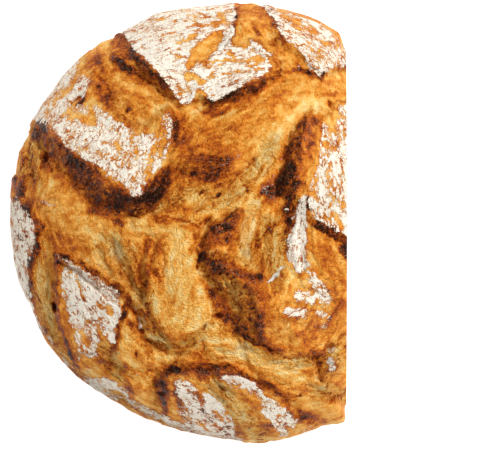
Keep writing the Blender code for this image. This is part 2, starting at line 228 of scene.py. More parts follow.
# Folds and gullies of the dough: rise, width and line.
FOLDS = rows(Fold, (
    ("west valley", -1.5, 2.6, (
        (-101, -8), (-100, -14), (-100, -25), (-98, -37), (-96, -48), (-94, -58), (-90, -69), (-85, -79))),
    ("horn valley", -1.2, 4.0, ((14, 10), (11, 3), (9, -6), (8, -15), (10, -25))),
    ("dome left fold", -1.5, 2.4, (
        (-44, -8), (-48, -18), (-50, -30), (-48, -42), (-44, -54), (-37, -63), (-30, -68))),
    ("low folds 1", -1.9, 1.6, ((-65, -10), (-63, -18), (-58, -28), (-53, -36), (-47, -43))),
    ("low folds 2", -2.4, 1.5, ((-55, -16), (-51, -24), (-48, -34))),
    ("low folds 3", -0.5, 1.3, ((-72, -8), (-68, -14), (-65, -22), (-61, -30))),
    ("fold ridge a", 2.8, 2.2, ((-70, -13), (-66, -22), (-61, -31), (-56, -38))),
    ("fold ridge b", 3.0, 2.2, ((-58, -12), (-54, -21), (-51, -30), (-48, -37))),
    ("fold ridge c", 1.6, 1.6, ((-44, -10), (-45, -19), (-44, -28), (-45, -35))),
    ("ring", -1.4, 1.1, (
        (-41, -16), (-42, -20), (-42, -25), (-40, -30), (-36, -29), (-35, -23), (-36, -18), (-39, -15))),
    ("flap tail", -3.5, 2.2, ((-56, -43), (-53, -50), (-50, -56), (-48, -63), (-44, -67), (-35, -70))),
    ("flap rim", 1.6, 1.3, ((-96, -19), (-86, -24), (-74, -32), (-63, -37), (-57, -42))),
    ("flap rim lee", -1.3, 1.2, ((-94, -22), (-85, -27), (-75, -35), (-65, -41))),
    ("flap slit", -1.4, 1.2, ((-69, -78), (-64, -84), (-61, -86))),
    ("flap slit 2", -1.6, 1.2, ((-64, -78), (-58, -82), (-54, -85))),
    ("valley slot", -3.5, 1.1, ((-97, -45), (-96, -49))),
    ("rib slot a", -2.6, 1.2, ((-102, 38), (-105, 34), (-103, 29))),
    ("rib slot b", -2.2, 1.0, ((-100, 32), (-98, 28))),
    ("rib slot c", -1.8, 1.1, ((-110, 41), (-111, 33), (-109, 25))),
    ("rib a", 2.2, 1.6, ((-106, 41), (-105, 32), (-104, 25))),
    ("rib b", 2.2, 1.8, ((-114, 38), (-114, 32), (-114, 26))),
    ("north fold", -2, 2.4, ((-19, 62), (-9, 58), (3, 63), (18, 70), (29, 78))),
    ("north fold slit", -1.3, 0.9, ((-9, 62), (1, 64), (10, 68), (19, 73), (23, 77))),
    ("centre seam", -1.8, 1.1, ((-54, 3), (-46, 5), (-37, 2), (-27, 2), (-20, -2), (-16, -3), (-12, 1))),
    ("under hump a", -1.2, 0.9, ((-25, 16), (-21, 17), (-15, 16), (-14, 15))),
    ("under hump b", -1.3, 0.9, ((-20, 6), (-16, 9), (-12, 13), (-7, 14))),
    ("under hump c", -1.1, 0.8, ((-30, 19), (-26, 19), (-21, 21))),
    ("under hump d", -1.0, 0.8, ((-44, 8), (-37, 10), (-30, 13), (-24, 12))),
    ("trough a", -1.2, 0.9, ((7, 18), (11, 21), (16, 28))),
    ("trough b", -1.1, 0.8, ((-3, 12), (2, 13), (7, 15), (11, 19))),
    ("trough c", -1.0, 0.8, ((13, 34), (14, 31))),
    ("trough d", -1.0, 0.8, ((18, 25), (21, 30), (24, 36))),
    ("trough e", -1.0, 0.8, ((-1, 19), (4, 23), (9, 28))),
    ("trough f", 0.9, 1.4, ((1, 16), (8, 20), (14, 25), (20, 32))),
    ("valley pit a", -0.9, 0.9, ((7, -4), (10, 1), (14, 6))),
    ("valley pit b", -0.9, 0.9, ((10, -18), (10, -13))),
    ("valley pit c", -1.3, 0.9, ((15, -1), (17, 3))),
    ("valley pit d", -1.6, 1.0, ((14, -10), (13, -13))),
    ("valley pit e", -1.4, 0.9, ((10, -24), (12, -20))),
    ("crest line a", -0.8, 0.8, ((-6, -24), (5, -29), (14, -36), (16, -39))),
    ("crest line b", -0.9, 0.8, ((-4, -22), (6, -26), (13, -32), (18, -37))),
    ("crest ridge", 1.6, 1.6, ((-9, -24), (1, -28), (10, -34), (15, -40), (16, -50), (16, -59))),
    ("horn crease", -2.0, 1.2, ((-18, -16), (-15, -19), (-11, -21))),
    ("horn foot", -2.0, 2.6, ((-19, -4), (-20, -13), (-17, -22), (-13, -30), (-12, -40), (-10, -50))),
    ("south groove", -0.6, 3.0, ((-13, -85), (-3, -94), (3, -105), (11, -120))),
    ("south groove 2", -1.1, 2.0, ((-9, -85), (-3, -92), (3, -96), (10, -103), (15, -111), (22, -120))),
    ("south strip ridge", 1.4, 1.8, ((-11, -88), (-2, -98), (4, -108), (9, -118))),
    ("south-east fold", -2.0, 1.6, ((43, -90), (50, -93), (57, -96), (63, -95))),
    ("south-east slit", -2.2, 1.1, ((54, -99), (59, -96))),
    ("south-east marks", -1.6, 1.0, ((28, -93), (31, -97), (38, -95))),
    ("belly seam", -1.4, 1.6, ((-30, -69), (-23, -68), (-18, -62), (-14, -57))),
    ("belly slit", -1.8, 1.0, ((-14, -65), (-13, -68), (-15, -72))),
    ("belly edge", -0.5, 1.2, ((-44, -52), (-41, -59), (-37, -64), (-31, -68))),
    ("lower crease", -1.4, 1.0, ((-54, -81), (-48, -81), (-41, -81))),
    ("lower lobe crease", -1.4, 1.8, ((-46, -65), (-40, -70), (-32, -73), (-23, -72))),
    ("east split", -1.2, 2.0, ((34, 13), (32, 8), (31, 0), (30, -7))),
    ("north plate tear", -1.2, 3.2, ((-7, 102), (-13, 95), (-20, 87))),
    ("north plate lip", 0.8, 1.4, ((2, 101), (-4, 94), (-14, 87), (-22, 84))),
    ("dome foot", -2, 1.6, ((11, -65), (19, -68), (26, -72), (34, -75), (42, -74), (48, -74))),
    ("dome line", -0.9, 0.9, ((33, -59), (33, -66), (33, -72))),
    ("dome dimple", -1.2, 1.4, ((28, -54), (31, -59))),
    ("under chip", -3, 1.8, ((48, -73), (47, -79), (50, -86))),
    ("chip top", -1.6, 1.2, ((52, -72), (54, -68), (61, -63))),
    ("gate slit", -1.0, 1.2, ((13, 109), (15, 103))),
    ("gully slit", -1.8, 0.9, ((24, 100), (24, 97))),
    ("gully edge", -1.2, 1.4, ((-72, 80), (-67, 75), (-65, 68), (-61, 61), (-54, 54))),
    ("hump line a", -1.2, 1.0, ((-24, 34), (-18, 31), (-10, 32), (-2, 29))),
    ("hump line b", -1.0, 1.0, ((-29, 28), (-21, 25), (-13, 24))),
    ("south field a", -1.3, 1.3, ((-9, -70), (1, -72), (9, -69))),
    ("field line a", -0.9, 1.0, ((18, -78), (25, -81), (33, -81))),
    ("field line b", -0.9, 1.0, ((14, -82), (23, -87), (32, -89))),
))

# Notes of which way dough is drawn out: place and bearing.
FLOW = (
    (-44, 111, 15), (-22, 111, 12), (0, 111, 25), (-50, 97, 5), (-28, 89, 15), (-8, 81, 25), (11, 86, 22),
    (-30, 75, -55), (-58, 95, -50), (-44, 81, -50), (-33, 68, -48), (-3, 65, 24), (16, 74, 28),
    (38, 108, -38), (55, 97, -36), (30, 97, -60), (8, 106, 82), (18, 107, 75), (-94, 81, 60),
    (-102, 67, 58), (-72, 56, 30), (-55, 40, 70), (-36, 42, 85), (-50, 20, 60), (-88, 34, -42),
    (-74, 18, -40), (-58, 10, -10), (-36, 20, 55), (-61, 75, -35), (-44, 67, -30), (-74, 89, -40),
    (-28, 48, 60), (-11, 59, 20), (8, 56, 28), (33, 67, 35), (52, 73, 20), (22, 40, 62), (8, 21, 50),
    (18, 28, 55), (-4, 12, 28), (-22, 9, 32), (-14, 31, -6), (1, 31, 0), (-44, 6, 8), (-30, 0, 0),
    (-19, -6, -10), (41, 45, 88), (38, 23, 95), (30, 23, 72), (32, 4, 85), (58, 40, 97), (55, 12, 105),
    (38, -4, 84), (47, -29, -45), (8, -10, 78), (12, 7, 62), (-4, -2, 20), (-10, -13, 115),
    (-1, -16, 110), (1, -26, -34), (12, -34, -40), (18, -51, -88), (1, -43, -62), (-4, -57, -66),
    (8, -62, -40), (22, -15, 84), (30, -37, 84), (44, -48, 70), (55, -59, 50), (38, -68, 20),
    (30, -79, -12), (22, -90, -25), (44, -87, -10), (55, -95, 5), (55, -106, 20), (-25, -15, 70),
    (-22, -37, 85), (-30, -54, 60), (-22, -65, 20), (-50, -26, -66), (-61, -22, -58), (-69, -15, -55),
    (-44, -43, -75), (-44, -59, -50), (-52, -70, -88), (-52, -87, -55), (-36, -73, -8), (-8, -72, 5),
    (-91, 12, 30), (-80, 1, 25), (-96, -7, -60), (-77, -13, -10), (-106, 31, 86), (-113, 31, 84),
    (-105, -29, -84), (-99, -59, -68), (-82, -35, -60), (-69, -43, -45), (-77, -59, -60), (-66, -68, -52),
    (-74, -76, -30), (-69, -92, -30), (-22, -92, -62), (-16, -106, -66), (-3, -98, -52), (8, -92, -40),
    (28, -106, -46), (11, -114, -55), (-38, -90, -80),
)

# Swellings and hollows of the dough: middle, half lengths, turn in degrees, height.
HUMPS = rows(Hump, (
    ("browned hump", -15, 30, 19, 8, -8, 4.0),
    ("small browned", -4, 35, 7, 4, 0, 1.5),
    ("gold heart", 8, 51, 25, 11, 25, 2.5),
    ("west field", -90, 4, 14, 11, -20, 2.5),
    ("valley bulge", -52, 67, 13, 8, -30, 2.6),
    ("north gully bulge", -73, 90, 7, 6, 0, 2.0),
    ("round bump", -39, -23, 4, 6, 0, 1.8),
    ("belly crown", -23, -37, 13, 16, 0, 3.0),
    ("south field", -4, -70, 14, 5, 10, 1.8),
    ("low west", -52, -91, 7, 4, 0, 1.5),
    ("west hump", -78, -12, 9, 6, 20, 1.8),
    ("seam hump", -14, 9, 9, 4, 20, 1.5),
    ("north crown bulge", 18, 107, 7, 8, 0, 1.8),
    ("corner bulge", 52, 74, 8, 7, 0, 2.2),
    ("dome crown", 38, -53, 19, 14, 20, 3.0),
    ("inner ridge", 21, -15, 6, 18, -8, 2.0),
    ("flank step", 1, -50, 6, 11, -20, 1.5),
    ("gate bulge", 8, 107, 4, 9, 0, 1.6),
    ("gully bulge", 33, 91, 9, 5, -30, 1.6),
    ("chip bulge", 57, -79, 6, 7, 0, 1.5),
    ("rim bulge a", -105, -37, 4, 12, 12, 1.5),
    ("rim bulge b", -98, -65, 4, 10, 25, 1.5),
))

# Where dough is torn, with each spot's half width, as in every table of lines below.
TORN = rows(Stroke, (
    ("trough", 0.6, 0.8, ((-14, 9.5, 5.5), (3, 17.5, 7.5), (17.5, 31.5, 5.5), (25.5, 45, 4.5))),
    ("horn valley", 0.4, 0.7, ((14, 9.5, 4.5), (9.5, -7, 4.5), (10, -23.5, 4.5))),
    ("inner ridge", 0.7, 0.8, ((22, 0, 4.5), (23, -18, 6.5), (27.5, -34.5, 4.5))),
    ("folds", 0.8, 0.8, (
        (-66, -10, 6.5), (-58, -22, 9), (-49.5, -34.5, 6.5), (-44, -51, 4.5), (-38.5, -64, 4.5))),
    ("belly foot", 0.6, 0.8, ((-44, -65, 4.5), (-27.5, -71.5, 4.5), (-16.5, -62, 4.5))),
    ("under the hump", 0.6, 0.8, ((-44, 7.5, 4.5), (-25, 15, 5.5), (-14, 17.5, 4.5))),
    ("flank", 0.5, 0.7, ((-8, -27.5, 4.5), (3, -43, 9), (11, -59.5, 5.5))),
    ("west rim", 0.6, 0.8, ((-104.5, -10, 4.5), (-104.5, -37.5, 5.5), (-98, -65, 5.5), (-88, -81.5, 4.5))),
    ("ribs", 0.8, 0.8, ((-104.5, 39.5, 6.5), (-110, 26, 6.5))),
    ("south strips", 0.8, 0.8, ((-8, -89.5, 4.5), (5.5, -104.5, 5.5), (16.5, -117, 5.5))),
    ("flap tail", 0.9, 0.8, ((-69, -70.5, 5.5), (-63.5, -81.5, 5.5))),
    ("hump", 0.5, 0.8, ((-27.5, 31, 6.5), (-5.5, 32, 6.5))),
    ("south rim", 0.8, 0.8, (
        (-88, -82.5, 3), (-74, -91.5, 3.5), (-55, -100.5, 3.5), (-27.5, -113.5, 3.5), (5.5, -120.5, 3))),
    ("chip", 0.7, 0.8, ((56, -77, 7.5),)),
    ("south-east fold", 0.7, 0.8, ((44, -91.5, 3.5), (63.5, -95.5, 4.5))),
))

# Darker and paler marks of the crust: browning, softness, line. The marks in the lee of the horn,
# the flap and the south plate, at the feet of the flank and of the north plate's south-east wall,
# and those named shade or shadow are painted shade.
TOAST = rows(Stroke, (
    ("heart glow", -0.09, 0.8, ((17.5, 39.5, 11), (33, 56, 11), (50.5, 70, 8))),
    ("pale trough", -0.07, 0.7, (
        (29.5, 48.5, 3.5), (26, 39.5, 5), (20, 31, 5), (11, 23, 5), (3.5, 14.5, 3.5))),
    ("trough rust", 0.07, 0.8, ((-2, 20, 5), (-8, 10, 4.5), (-18.5, 9, 4.5), (-28.5, 14.5, 4.5))),
    ("heart low", 0.18, 0.8, ((-3.5, 44, 5), (4.5, 36.5, 5), (12, 39.5, 3.5))),
    ("field gold", -0.14, 0.8, ((-76, -7.5, 4), (-67, -12, 5), (-61.5, -17.5, 3.5))),
    ("horn glow low", -0.55, 0.7, ((-5.5, -19, 4),)),
    ("inner ridge rust", -0.14, 0.7, ((21, -7.5, 3.5), (22, -18.5, 4))),
    ("plate shadow", 0.84, 0.6, ((61, -14.5, 2), (66, -18.5, 3))),
    ("char west", 0.22, 0.6, ((21, 15.5, 3.5), (24, 9, 3))),
    ("brink south", 0.31, 0.6, ((31, 40.5, 2), (29.5, 35, 3))),
    ("hump south", 0.1, 0.7, ((-33, 18.5, 3.5), (-24, 24, 3), (-13, 23, 3.5))),
    ("horn inner", 0.22, 0.7, ((3, 2, 2), (1, -4.5, 3), (0, -10, 2))),
    ("folds middle", 0.16, 0.7, ((-57, -22, 3.5), (-57, -29.5, 3.5))),
    ("belly west", 0.28, 0.7, ((-39.5, -28.5, 3), (-37.5, -36.5, 3.5))),
    ("dome south-east", 0.14, 0.7, ((43, -68, 3.5), (48.5, -76, 3))),
    ("heart east", 0.13, 0.8, ((26.5, 62.5, 5), (37.5, 71.5, 5.5))),
    ("gully east", 0.19, 0.8, ((-43, 73.5, 4.5), (-39.5, 68, 3.5))),
    ("heart spot", -0.18, 0.7, ((1, 56.5, 4),)),
    ("trough spot", -0.37, 0.7, ((20, 42.5, 3),)),
    ("horn brow", -0.15, 0.7, ((-7.5, -1, 3.5),)),
    ("belly corner", -0.2, 0.7, ((-14, -54, 3.5), (-17.5, -61.5, 3.5))),
    ("foot light", -0.43, 0.7, ((11, -70.5, 4),)),
    ("lobe light", -0.21, 0.8, ((47.5, -95, 4.5), (57, -100.5, 5))),
    ("hump light", -0.1, 0.7, ((-22, 31, 4.5), (-12, 31, 4))),
    ("west light south", -0.09, 0.8, ((-99, 9, 4.5), (-91.5, 7.5, 4.5))),
    ("gully south", 0.12, 0.7, ((-22, 44, 4.5), (-24, 38.5, 4))),
    ("lip south", 0.36, 0.7, ((-108, 10.5, 3),)),
    ("flap west lee", 0.14, 0.6, ((-91.5, -47.5, 1.5), (-88, -59.5, 2), (-87, -71.5, 2))),
    ("crest foot dark", 0.14, 0.5, ((32.5, -2, 1.5), (31.5, 3.5, 1.5))),
    ("low fold light", -0.11, 0.7, ((-59.5, -58.5, 3), (-51.5, -61.5, 3), (-69.5, -43, 2))),
    ("horn dark", 0.14, 0.6, ((-13, -9, 2), (-12.5, -15.5, 2))),
    ("rubble spot", 0.22, 0.6, ((-56, 93.5, 3.5),)),
    ("crest gap", 0.64, 0.5, ((42.5, 13, 1.5), (44, 6.5, 1.5))),
    ("flap tip west", 0.22, 0.6, ((-95, -23, 2), (-93.5, -27.5, 2))),
    ("side foot", 0.3, 0.7, ((-108, -22, 3), (-104.5, -15.5, 3))),
    ("tip dark", 0.47, 0.6, ((-40.5, 23, 3),)),
    ("brow knob", 0.18, 0.6, ((-18, -74, 3), (-13, -78, 4))),
    ("crest band", 0.15, 0.6, ((3.5, -26.5, 3), (10, -31.5, 3.5), (16.5, -37.5, 3))),
    ("wall tip", 0.33, 0.6, ((26, 80, 3),)),
    ("lip foot east", 0.24, 0.7, ((-104.5, 8, 3.5),)),
    ("rim light", -0.09, 0.8, ((-102, -34.5, 4.5), (-99, -48.5, 4), (-95.5, -62, 4))),
    ("low belly", 0.11, 0.8, ((-31, -55, 5), (-28.5, -66, 4))),
    ("north-east side", 0.18, 0.7, ((36.5, 89, 3.5), (38.5, 84.5, 3))),
    ("side skin", 0.34, 0.8, (
        (-117.5, 9, 4.5), (-114.5, -7, 6.5), (-115.5, -23.5, 5.5), (-111, -42, 3.5), (-103.5, -58.5, 3))),
    ("rim skin", -0.02, 0.8, ((-88, -79, 3), (-74, -90, 3.5), (-55, -100, 3.5), (-36, -109, 3.5))),
    ("brow east", 0.04, 0.6, ((3.5, -83, 2), (11, -86.5, 2), (17.5, -91, 1.5))),
    ("ridge south", 0.21, 0.7, ((35, 22, 3.5),)),
    ("belly fold light", -0.07, 0.7, ((-42, -48.5, 3.5),)),
    ("side brink", 0.06, 0.7, ((-107.5, -26.5, 3), (-108, -38.5, 2), (-103.5, -51.5, 2))),
    # Painted shadow at the low end of the flank's foot.
    ("flank foot shadow low", 0.17, 0.6, ((-1, -59.5, 3), (8, -61.5, 3))),
    ("dome foot rust", 0.2, 0.7, ((24, -69, 3.5),)),
    ("dome rust low", 0.16, 0.7, ((50.5, -59.5, 4),)),
    ("middle rust", 0.12, 0.8, ((-10, 6, 4), (3.5, 12, 3.5), (14.5, 14, 3.5))),
    ("tip foot", 0.18, 0.7, ((-50.5, 11, 3), (-36.5, 14.5, 3))),
    ("heart corner", 0.14, 0.8, ((26, 55, 4.5),)),
    ("gully rust low", 0.2, 0.7, ((-52.5, 59, 3.5),)),
    ("west wall low", 0.11, 0.7, ((-83.5, 21.5, 4), (-76, 16, 3.5))),
    ("crown light", -0.1, 0.8, ((-27.5, -4.5, 3.5), (-20.5, -24, 3.5), (-20.5, -35, 3.5))),
    ("roll light", -0.09, 0.8, ((-38, -22, 3.5), (-43, -71.5, 4))),
    ("dome light", -0.06, 0.8, ((26, -31, 3), (52.5, -19, 3.5), (58, -67.5, 3.5))),
    ("rim glow", -0.08, 0.8, ((-103.5, -38.5, 3.5), (-99, -32, 3), (-71, -74, 3.5))),
    ("ridge head light", -0.21, 0.8, ((43.5, 62, 3.5),)),
    ("gate rust", 0.12, 0.7, ((9, 100, 3), (9, 115.5, 4))),
    ("south skin", 0.26, 0.8, ((-25, -92.5, 4.5), (-14, -103.5, 5.5), (-3, -111.5, 4.5))),
    ("rim rust south", 0.2, 0.8, ((-3, -114.5, 3.5), (17.5, -114.5, 3.5), (29.5, -112, 3))),
    ("brow heart", 0.42, 0.6, ((-15, -84, 3),)),
    ("groove dark", 0.2, 0.6, ((7, -96.5, 2),)),
    ("hump hollow light", -0.1, 0.7, ((-27, 15.5, 3.5), (-15, 10.5, 3.5))),
    ("hump heel", 0.28, 0.6, ((-16.5, 22.5, 1.5), (-10, 22.5, 2))),
    ("ridge inner dark", 0.14, 0.6, ((20.5, -7, 3),)),
    ("folds west light", -0.11, 0.7, ((-70, -16.5, 3.5), (-66, -26.5, 3.5), (-60, -37.5, 2))),
    ("folds east light", -0.15, 0.7, ((-49, -36.5, 3.5), (-45.5, -45.5, 3))),
    ("belly toe", 0.16, 0.7, ((-12.5, -43, 3),)),
    ("south toe light", -0.12, 0.7, ((-5.5, -65, 3.5),)),
    ("flank stripe", 0.13, 0.7, ((6.5, -46, 2), (11, -60.5, 3))),
    ("brink dark", 0.22, 0.6, ((29.5, 42.5, 2),)),
    ("ridge side", 0.17, 0.6, ((40.5, 35, 3),)),
    ("dome east rust", 0.09, 0.8, ((59.5, -49.5, 4.5), (57, -59.5, 4))),
    ("hump tip", 0.13, 0.7, ((-6.5, 37, 3),)),
    ("flank warmth", 0.1, 0.8, ((-4.5, -34, 4.5), (4.5, -44, 5.5))),
    ("south rim edge", 0.3, 0.6, (
        (15.5, -86, 1.5), (23, -91.5, 1.5), (31, -98, 1.5), (39.5, -107.5, 1.5))),
    ("folds top", 0.23, 0.7, ((-44, -14, 3.5), (-37.5, -11.5, 3))),
    # Painted shadow cast by the horn onto the dough west of it.
    ("horn lee shadow", 0.34, 0.7, ((-19, -6.5, 2), (-18, -13, 3), (-17, -20, 2))),
    ("crest top", 0.22, 0.7, ((7, -27.5, 3), (15.5, -31, 3))),
    ("dome west", 0.17, 0.8, ((21, -42, 4), (22, -56.5, 4.5), (21, -67, 3))),
    ("seam hump", 0.33, 0.7, ((-33, 7.5, 3), (-26.5, 6, 3.5))),
    ("west field hollow", 0.24, 0.8, ((-76, 5.5, 3), (-68, 5, 3.5))),
    ("flap tail rust", 0.2, 0.7, ((-90, -71.5, 3), (-84.5, -76.5, 2), (-66, -79, 3.5))),
    ("heart blush", 0.14, 0.7, ((-15, 45, 6.5), (-3, 53.5, 7.5), (11, 60.5, 5), (26, 71, 4.5))),
    ("cream foot of the north plate", -0.05, 0.5, (
        (-24, 60.5, 3), (-16.5, 58.5, 3.5), (-4.5, 56.5, 2), (8, 62.5, 2), (18.5, 70, 2))),
    ("rust gully", 0.28, 0.7, ((-28.5, 58, 4), (-27, 51.5, 5), (-27.5, 46, 4.5))),
    ("browned hump", 0.27, 0.6, ((-32, 28.5, 4.5), (-20.5, 32.5, 7), (-9, 31, 9.5), (2, 29.5, 5))),
    ("hump char north", 0.08, 0.6, ((-21.5, 37.5, 3), (-15, 35, 3), (-7.5, 37, 4), (-1, 34, 3.5))),
    ("hump char south", 0.16, 0.6, ((-23, 27, 3), (-15, 26, 4.5), (-9, 26.5, 3))),
    ("hump foot", 0.17, 0.6, ((-2, 22, 4.5), (-5.5, 17.5, 3.5))),
    ("under the hump", 0.01, 0.6, ((-24, 18.5, 4), (-14, 18.5, 4), (-4.5, 16, 3))),
    ("centre cream", -0.06, 0.7, ((-50.5, -1, 4.5), (-38.5, -3.5, 5.5), (-26.5, -5, 5), (-14.5, -7.5, 2))),
    ("middle cream", -0.2, 0.7, ((-10, 9, 4), (3, 10.5, 4.5), (12, 9, 3.5))),
    ("east ridge", 0.23, 0.6, (
        (40.5, 55.5, 4), (47.5, 56, 3.5), (44, 46, 5), (41, 35, 4.5), (39.5, 26.5, 3))),
    ("east ridge top", 0.29, 0.5, ((40, 51.5, 3), (45, 55, 3.5), (50, 53, 3))),
    ("east ridge char", 0.52, 0.5, (
        (33.5, 29.5, 3), (29.5, 24, 4.5), (23, 17.5, 4.5), (32, 15.5, 4), (37, 20, 3))),
    ("char tail", -0.11, 0.5, ((32.5, 10.5, 3), (31, 4.5, 2), (29.5, -3, 1.5))),
    ("trough brink", 0.07, 0.6, (
        (29, 47, 1.5), (27, 39.5, 1.5), (25, 32.5, 1.5), (21, 25.5, 1.5), (17.5, 17.5, 1.5))),
    ("dome gold", 0.03, 0.8, ((25, -43, 6.5), (33, -54, 13), (49.5, -59.5, 10))),
    ("dome rust", 0.22, 0.7, ((43, -62.5, 4), (49.5, -57, 6), (58.5, -46, 5))),
    ("dome north", 0.24, 0.7, ((54, -18, 8), (56, -32, 7))),
    ("dome flank", -0.04, 0.5, ((-9.5, -25.5, 4), (-2, -37.5, 7), (5, -50.5, 7), (10.5, -61.5, 4.5))),
    ("flank crest", 0.13, 0.5, (
        (-12, -22, 2), (-3, -25.5, 3), (6.5, -30.5, 3), (14.5, -37.5, 3), (15, -48.5, 3.5),
        (15, -59.5, 3.5), (17.5, -66, 2))),
    ("flank gold", -0.08, 0.5, ((-4.5, -32, 2), (-4, -39.5, 3), (0, -43.5, 3), (1.5, -48, 1.5))),
    ("flank notes", 0.0, 0.5, ((6, -46, 2), (7, -53, 3.5), (4, -58.5, 3))),
    # Painted shadow along the west foot of the flank.
    ("flank foot shadow", 0.54, 0.6, ((-10, -37.5, 2), (-5.5, -44, 3.5), (-1, -51.5, 3.5), (2, -58.5, 2))),
    ("horn body", 0.22, 0.5, ((-1, 0, 4), (-4.5, -10, 7.5), (-4.5, -17.5, 6), (3.5, -24, 4))),
    ("horn top", 0.11, 0.5, ((5.5, 4.5, 2), (-0.5, 0, 3.5), (-7, -4.5, 3.5))),
    ("horn glow", 0.13, 0.6, ((-1, -10, 3.5), (0, -16.5, 3.5))),
    ("valley cream", -0.27, 0.5, ((13, 9.5, 3), (9.5, -1.5, 3), (7, -12.5, 3), (10, -23.5, 3))),
    ("valley notch", -0.06, 0.5, ((10.5, -14, 1), (10, -18.5, 1))),
    ("inner ridge", -0.03, 0.6, ((21, -1, 3.5), (22, -12.5, 5.5), (18.5, -22, 5), (17.5, -32, 4))),
    ("inner ridge spot", 0.3, 0.5, ((21.5, -2, 2), (20.5, -5.5, 1.5))),
    ("inner ridge pits", -0.15, 0.4, ((13, -8, 1), (16, -10, 1))),
    ("inner ridge foot", 0.3, 0.5, (
        (15.5, -5.5, 1.5), (15.5, -15.5, 2), (16.5, -23, 2), (16, -29.5, 1.5))),
    ("crest rust", 0.01, 0.6, ((31, -3.5, 3), (29, -15.5, 3.5), (28, -25.5, 2))),
    ("belly gold", -0.1, 0.8, ((-27.5, -15.5, 9), (-25, -34.5, 12), (-22, -51, 11))),
    ("belly light", -0.05, 0.7, ((-15, -15.5, 3.5), (-12, -29.5, 4.5), (-13, -37.5, 3))),
    ("belly rust", -0.04, 0.7, ((-39.5, -43, 3.5), (-38.5, -54, 4), (-32, -64, 3.5))),
    ("belly blush", 0.09, 0.7, ((-32, -45, 4.5), (-27.5, -44.5, 3))),
    ("folds dark", 0.18, 0.5, (
        (-45, -10, 2), (-47.5, -16.5, 3), (-51, -22, 2), (-49.5, -29, 3.5), (-49.5, -36.5, 4))),
    ("folds low", -0.07, 0.6, (
        (-50, -41, 3.5), (-48.5, -48.5, 3), (-44.5, -56.5, 3), (-38.5, -64, 2), (-31.5, -69, 2))),
    ("folds outer", -0.15, 0.6, ((-62.5, -15.5, 1.5), (-59.5, -22, 1.5), (-56, -27.5, 2), (-53, -34, 2))),
    ("folds inner", 0.05, 0.6, ((-67.5, -22, 1.5), (-64.5, -30.5, 2), (-60, -36.5, 1.5))),
    ("ring", 0.02, 0.6, ((-40, -12.5, 1.5), (-35, -17.5, 1), (-34, -25.5, 1), (-39, -31, 1.5))),
    ("west light", 0.06, 0.8, ((-93.5, 12, 4.5), (-83.5, 3.5, 5), (-76, -5.5, 3.5))),
    ("west shade", 0.21, 0.8, (
        (-100, 33, 3.5), (-91.5, 24, 4), (-82.5, 16.5, 4.5), (-73.5, 8, 4.5), (-62.5, 3.5, 4),
        (-51.5, 3, 3))),
    ("west plate brow", 0.17, 0.6, (
        (-94.5, 46, 1.5), (-87.5, 39, 2), (-81, 34, 2), (-74, 29, 2.5), (-69, 23.5, 3), (-63.5, 18.5, 3),
        (-56.5, 15.5, 1.5))),
    ("west rust", 0.26, 0.7, ((-99, -5.5, 4.5), (-89, -13, 5), (-80.5, -14.5, 4))),
    ("flap brow", 0.07, 0.5, (
        (-96.5, -15.5, 3), (-90, -20, 2), (-82.5, -22.5, 1.5), (-74, -27, 1.5), (-66.5, -32.5, 1.5),
        (-59.5, -38, 1.5))),
    ("rim band", -0.01, 0.6, (
        (-104, -5.5, 3.5), (-105.5, -22, 4.5), (-106.5, -37.5, 4.5), (-104, -51, 4.5), (-99, -62, 4),
        (-93.5, -71.5, 3.5))),
    ("rim band light", -0.44, 0.6, ((-102, -25.5, 1.5), (-102.5, -36.5, 3), (-100.5, -43, 1.5))),
    ("west valley", 0.07, 0.6, (
        (-99, -11.5, 2), (-98, -22, 3), (-97, -32, 3), (-95.5, -43, 3), (-94.5, -54, 2), (-91.5, -64, 2),
        (-88, -71.5, 2), (-86, -77, 2))),
    ("valley hole", 0.68, 0.4, ((-96.5, -46, 1), (-95.5, -48, 1))),
    ("west wall char", 0.14, 0.6, (
        (-66, 14.5, 4), (-62, 9.5, 3.5), (-52.5, 11, 3), (-44, 14.5, 4), (-38.5, 18.5, 4.5),
        (-35, 26.5, 3.5))),
    ("west wall notes", 0.22, 0.5, ((-86, 32, 3), (-82.5, 28, 2))),
    ("west wall top", 0.62, 0.5, ((-104.5, 55, 2), (-102, 50.5, 2), (-106.5, 47.5, 3))),
    ("ribs", 0.11, 0.5, ((-106, 44, 4), (-109.5, 37, 5), (-112, 28.5, 4))),
    ("ribs gold", -0.16, 0.5, ((-108, 44, 1), (-106.5, 37, 1.5), (-105.5, 28.5, 1.5))),
    ("ribs dark", 0.07, 0.5, ((-102, 39.5, 1.5), (-100.5, 34, 2), (-103, 31, 1))),
    ("west lip", 0.41, 0.4, ((-119, 21, 3.5), (-115, 18.5, 3), (-113.5, 14.5, 1.5))),
    ("lip foot", 0.21, 0.6, ((-108, 21.5, 3), (-112, 9.5, 2))),
    ("north wall notes", -0.16, 0.6, ((-64, 88, 1.5), (-61.5, 86, 1.5), (-56, 86, 1.5))),
    ("north wall rubble", 0.2, 0.6, (
        (-60.5, 99, 4.5), (-58.5, 91.5, 6), (-51.5, 84.5, 4.5), (-45, 79, 3))),
    ("north wall shade", 0.22, 0.7, ((-62.5, 84.5, 3), (-56, 80, 3), (-48.5, 76, 2))),
    # Painted shadow along the foot of the north plate's south-east wall, in these two marks.
    ("south-east wall foot shadow", 0.25, 0.6, ((3.5, 64.5, 2), (9, 66.5, 2), (15.5, 71.5, 2), (23.5, 76.5, 2))),
    ("south wall foot shadow", 0.52, 0.6, ((-12, 59.5, 2), (-6.5, 60.5, 2), (-1, 62.5, 2))),
    ("north notch", -0.39, 0.5, ((-18.5, 70, 1), (-15.5, 69, 2))),
    ("north gate", 0.32, 0.6, ((4.5, 119, 1.5), (3.5, 111, 1.5), (2, 103, 1))),
    ("north gate rust", 0.31, 0.6, ((17.5, 115.5, 4.5), (23, 109, 3.5))),
